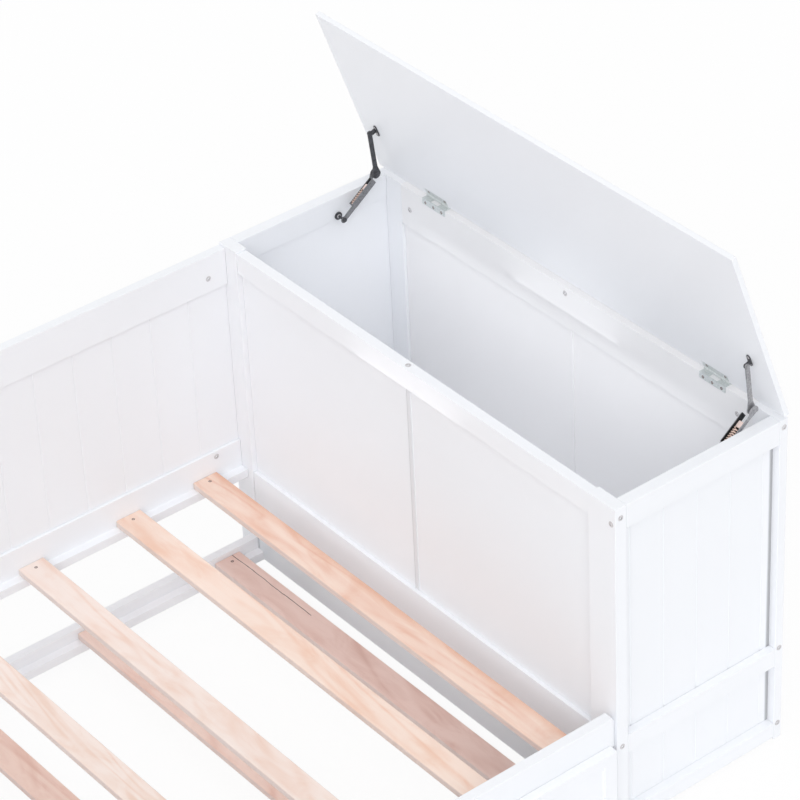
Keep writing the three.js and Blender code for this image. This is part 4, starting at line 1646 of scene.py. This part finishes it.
@dataclass
class BedFrame:
    """The bed's grooved back, front rail, foot end and slats."""

    boards: tuple[str, ...] = ("bed_back_top_rail", "bed_back_low_rail", "bed_front_rail", "foot_end")
    edge_mm: float = 0.8
    sheet_edge_mm: float = 0.4
    sharp: float = 60.0
    back_bolt_top: tuple[float, float] = (41 * MM, 48 * MM)
    back_bolt_low: tuple[float, float] = (56 * MM, 12 * MM)
    back_bolt_turns: tuple[float, float] = (0.3, 0.8)

    def build(self) -> list[Piece]:
        """Builds the bed.

        Returns:
            Its pieces.
        """
        edge, sheet_edge, sharp = self.edge_mm, self.sheet_edge_mm, self.sharp
        pieces = [Maker.dressed(n, white(Axis.X), "white_paint", edge, sharp) for n in self.boards]
        pieces.append(Maker.dressed("bed_back_panel", white(Axis.Z), "white_paint", sheet_edge, sharp))
        pieces += SlatRow("bed_slat_", BED_SLAT_TINTS, "frame", "birch").build()
        pieces.append(self._bolts())
        return pieces

    def _bolts(self) -> Piece:
        """Builds the bolt heads on the back board's inner face.

        Returns:
            The heads as one piece.
        """
        top_low, top_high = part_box("bed_back_top_rail")
        rail_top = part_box("bed_back_low_rail")[1].z
        rows = ((self.back_bolt_top, top_high.z), (self.back_bolt_low, rail_top))
        places = []
        for edge, sign in ((top_high.x, -1), (top_low.x, 1)):
            for ((inset, drop), top), turn in zip(rows, self.back_bolt_turns):
                places.append(facing(Vector((edge + sign * inset, top_low.y, top - drop)), TO_FRONT, turn))
        head = BOLT.head(BOLT.hexagon())
        return Maker.scattered("bed_back_bolts", head, places, [NICKEL, RECESS_SHADE], "frame", "zinc")


@dataclass
class Trundle:
    """The trundle: front board, inner frame, slats and four wheels."""

    wheel_radius: float = 20.0
    wheel_wide: float = 16.0
    axle_radius: float = 4.0
    wheel_sides: int = 48
    fascia_edge_mm: float = 1.0
    frame_edge_mm: float = 0.12
    sharp: float = 60.0

    def build(self) -> list[Piece]:
        """Builds the trundle.

        Returns:
            Its pieces.
        """
        pieces = [
            Maker.dressed("trundle_fascia", white(Axis.X), "white_paint", self.fascia_edge_mm, self.sharp),
            Maker.dressed("trundle_frame", white(Axis.X), "white_paint", self.frame_edge_mm, self.sharp),
        ]
        pieces += SlatRow("trundle_slat_", TRUNDLE_SLAT_TINTS, "trundle", "dark_birch").build()
        pieces += [self._wheel(n) for n in sorted(frame["nodes"]) if n.startswith("wheel_")]
        return pieces

    def _wheel(self, node: str) -> Piece:
        """Turns a wheel with a rounded tread, a dished face and its stub axle.

        Args:
            node: The wheel's solid.

        Returns:
            The wheel.
        """
        low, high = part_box(node)
        outward = 1.0 if "box" in node else -1.0
        r, w, a = self.wheel_radius, self.wheel_wide, self.axle_radius
        long = (high.x - low.x) / MM
        profile = [
            (0, -1.2), (3.4, -1.2), (3.9, -1.6), (4.6, -3.6), (12.4, -3.6), (13.4, -1.2), (r - 4.6, -0.2),
            (r - 2.8, -0.3), (r - 1.0, -1.6), (r - 0.1, -3.6), (r, -w / 2), (r - 0.1, 3.6 - w),
            (r - 1.0, 1.6 - w), (r - 2.8, 0.3 - w), (r - 4.6, 0.2 - w), (13.4, 1.2 - w), (12.4, 3.0 - w),
            (6.6, 3.0 - w),
            (6.2, 0.2 - w), (a, 0.0 - w), (a, 0.6 - long), (a - 0.5, 0.1 - long), (0, 0.1 - long),
        ]
        bm = turned(profile, self.wheel_sides)
        centre = (low + high) / 2
        outer = high.x if outward > 0 else low.x
        place = facing(Vector((outer, centre.y, centre.z)), Vector((outward, 0, 0)))
        bmesh.ops.transform(bm, matrix=place, verts=bm.verts)
        wheel = Maker.finish_mesh(f"{node}_turned", bm, [TYRE])
        wheel.modifiers.new("round_tread", "WEIGHTED_NORMAL").weight = 60
        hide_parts(node)
        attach(wheel, node)
        return wheel


@dataclass
class Studio:
    """The pale floor, the white surround and the soft lamps."""

    floor_radius: float = 40.0
    floor_colour: Colour = (249.0, 249.0, 250.0)
    floor_glow: float = 0.92
    surround: float = 0.6
    suns: tuple[tuple[str, Colour, float, float], ...] = (
        ("key_lamp", (-0.51, -0.65, 0.56), 0.95, 40.0),
        ("side_lamp", (-0.85, -0.2, 0.48), 0.26, 60.0),
        ("top_lamp", (0.0, -0.1, 1.0), 0.48, 60.0),
    )
    lid_fill: float = 0.3
    mouth_fill: float = 0.4
    mouth_inset: float = 0.07
    mouth_drop: float = 0.05
    mouth_share: float = 0.8

    def build(self) -> None:
        """Builds the floor, the world and the lamps."""
        bm = bmesh.new()
        bmesh.ops.create_circle(bm, cap_ends=True, segments=64, radius=self.floor_radius)
        mesh = bpy.data.meshes.new("studio_floor")
        bm.to_mesh(mesh)
        bm.free()
        floor = bpy.data.objects.new("studio_floor", mesh)
        bpy.context.scene.collection.objects.link(floor)
        mesh.materials.append(self._floor_material())
        self._world()
        for name, source, strength, spread in self.suns:
            self._lamp(name, Vector(source), strength, spread)
        self._box_lamps()
        bpy.context.scene.view_settings.view_transform = "Standard"

    @staticmethod
    def _seen(graph: Graph) -> Sock:
        """1 on rays from the camera and in gloss and glass, 0 on rays that light things."""
        rays = [graph.node("ShaderNodeLightPath", out=n) for n in (CAMERA_OUT, GLOSSY_OUT, TRANSMISSION_OUT)]
        return rays[0].highest(rays[1]).highest(rays[2])

    def _floor_material(self) -> bpy.types.Material:
        """Makes the floor's material, which glows to the eye so that it reads white and keeps a soft shadow.

        Returns:
            The material.
        """
        made = bpy.data.materials.new("pale_floor")
        made.use_nodes = True
        graph = Graph(made.node_tree, "ShaderNodeOutputMaterial")
        matt = graph.node("ShaderNodeBsdfDiffuse", None, {"Color": linear(self.floor_colour)})
        glow = graph.node("ShaderNodeEmission", None, {"Color": (1, 1, 1, 1), "Strength": 1.0})
        share = self._seen(graph) * self.floor_glow
        both = graph.node("ShaderNodeMixShader", None, {0: share, 1: matt, 2: glow})
        graph.tree.links.new(both.socket, graph.output.inputs["Surface"])
        return made

    def _world(self) -> None:
        """Makes the surround white to the eye and dimmer as a light."""
        world = bpy.data.worlds.new("white_surround")
        world.use_nodes = True
        bpy.context.scene.world = world
        graph = Graph(world.node_tree, "ShaderNodeOutputWorld")
        strength = self._seen(graph) * (1 - self.surround) + self.surround
        light = graph.node("ShaderNodeBackground", None, {"Color": (1, 1, 1, 1), "Strength": strength})
        graph.tree.links.new(light.socket, graph.output.inputs["Surface"])

    @staticmethod
    def _lamp(name: str, source: Vector, strength: float, spread: float) -> None:
        """Adds a broad distant lamp without glare, which would clip the white paint.

        Args:
            name: The lamp's name.
            source: The way towards it.
            strength: Its strength.
            spread: How broad it looks, in degrees.
        """
        light = bpy.data.lights.new(name, "SUN")
        light.energy = strength
        light.angle = math.radians(spread)
        lamp = bpy.data.objects.new(name, light)
        lamp.matrix_world = facing(Vector((0, 0, 3)), source)
        lamp.visible_glossy = False
        bpy.context.scene.collection.objects.link(lamp)

    def _box_lamps(self) -> None:
        """Adds two faint soft lamps in the box's mouth, one facing the open lid and one the box's floor."""
        low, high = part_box("bed_side_top_rail")
        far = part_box("far_top_rail")[0].x
        place = Vector(((high.x + far) / 2, (low.y + high.y) / 2, high.z - self.mouth_drop))
        size = (far - high.x) * self.mouth_share, high.y - low.y - 2 * self.mouth_inset
        self._soft_lamp("lid_fill_lamp", place, UP, size, self.lid_fill)
        self._soft_lamp("mouth_fill_lamp", place, DOWN, size, self.mouth_fill)

    @staticmethod
    def _soft_lamp(name: str, place: Vector, way: Vector, size: tuple[float, float], glow: float) -> None:
        """Adds a soft rectangular lamp that the camera doesn't see.

        Args:
            name: The lamp's name.
            place: Its middle.
            way: Where it shines.
            size: Its short and long side.
            glow: How bright its face is, where 1 is white.
        """
        light = bpy.data.lights.new(name, "AREA")
        light.shape = "RECTANGLE"
        light.size, light.size_y = size
        light.energy = math.pi * glow * size[0] * size[1]
        lamp = bpy.data.objects.new(name, light)
        lamp.matrix_world = facing(place, -way)
        lamp.visible_camera = False
        bpy.context.scene.collection.objects.link(lamp)


@dataclass
class PhotoCamera:
    """The camera at the photograph's place, solved from the photograph's straight edges."""

    place: tuple[float, float, float] = (-2.2704, -4.0198, 4.2099)
    heading: float = 38.1
    tilt: float = 33.76
    roll: float = 2.27
    focal_pixels: float = 3595.5
    centre: tuple[float, float] = (450.0, 300.0)

    def build(self) -> None:
        """Makes the camera and hands it to the scene."""
        data = bpy.data.cameras.new("photo_camera")
        data.sensor_width = SENSOR_MM
        data.lens = self.focal_pixels / PICTURE_PIXELS * SENSOR_MM
        half = PICTURE_PIXELS / 2
        data.shift_x = (half - self.centre[0]) / PICTURE_PIXELS
        data.shift_y = (self.centre[1] - half) / PICTURE_PIXELS
        heading, tilt, roll = (math.radians(a) for a in (self.heading, self.tilt, self.roll))
        ahead = math.cos(tilt)
        forward = Vector((math.sin(heading) * ahead, math.cos(heading) * ahead, -math.sin(tilt)))
        level = Vector((math.cos(heading), -math.sin(heading), 0.0))
        down = forward.cross(level)
        right = math.cos(roll) * level + math.sin(roll) * down
        below = math.cos(roll) * down - math.sin(roll) * level
        turn = Matrix((right, -below, -forward)).transposed().to_4x4()
        camera = bpy.data.objects.new("photo_camera", data)
        camera.matrix_world = Matrix.Translation(self.place) @ turn
        bpy.context.scene.collection.objects.link(camera)
        bpy.context.scene.camera = camera


def main() -> None:
    """Builds everything in order and reports each piece."""
    logging.basicConfig(level=logging.INFO, format="%(name)s: %(message)s")
    PhotoCamera().build()
    Studio().build()
    assemblies = [StorageBox(), Lid(), LidStay(End.FRONT), LidStay(End.BACK), BedFrame(), Trundle()]
    for assembly in assemblies:
        for piece in assembly.build():
            LOG.info("%s: %s with %d faces", type(assembly).__name__, piece.name, len(piece.data.polygons))


if __name__ == "__main__":
    main()
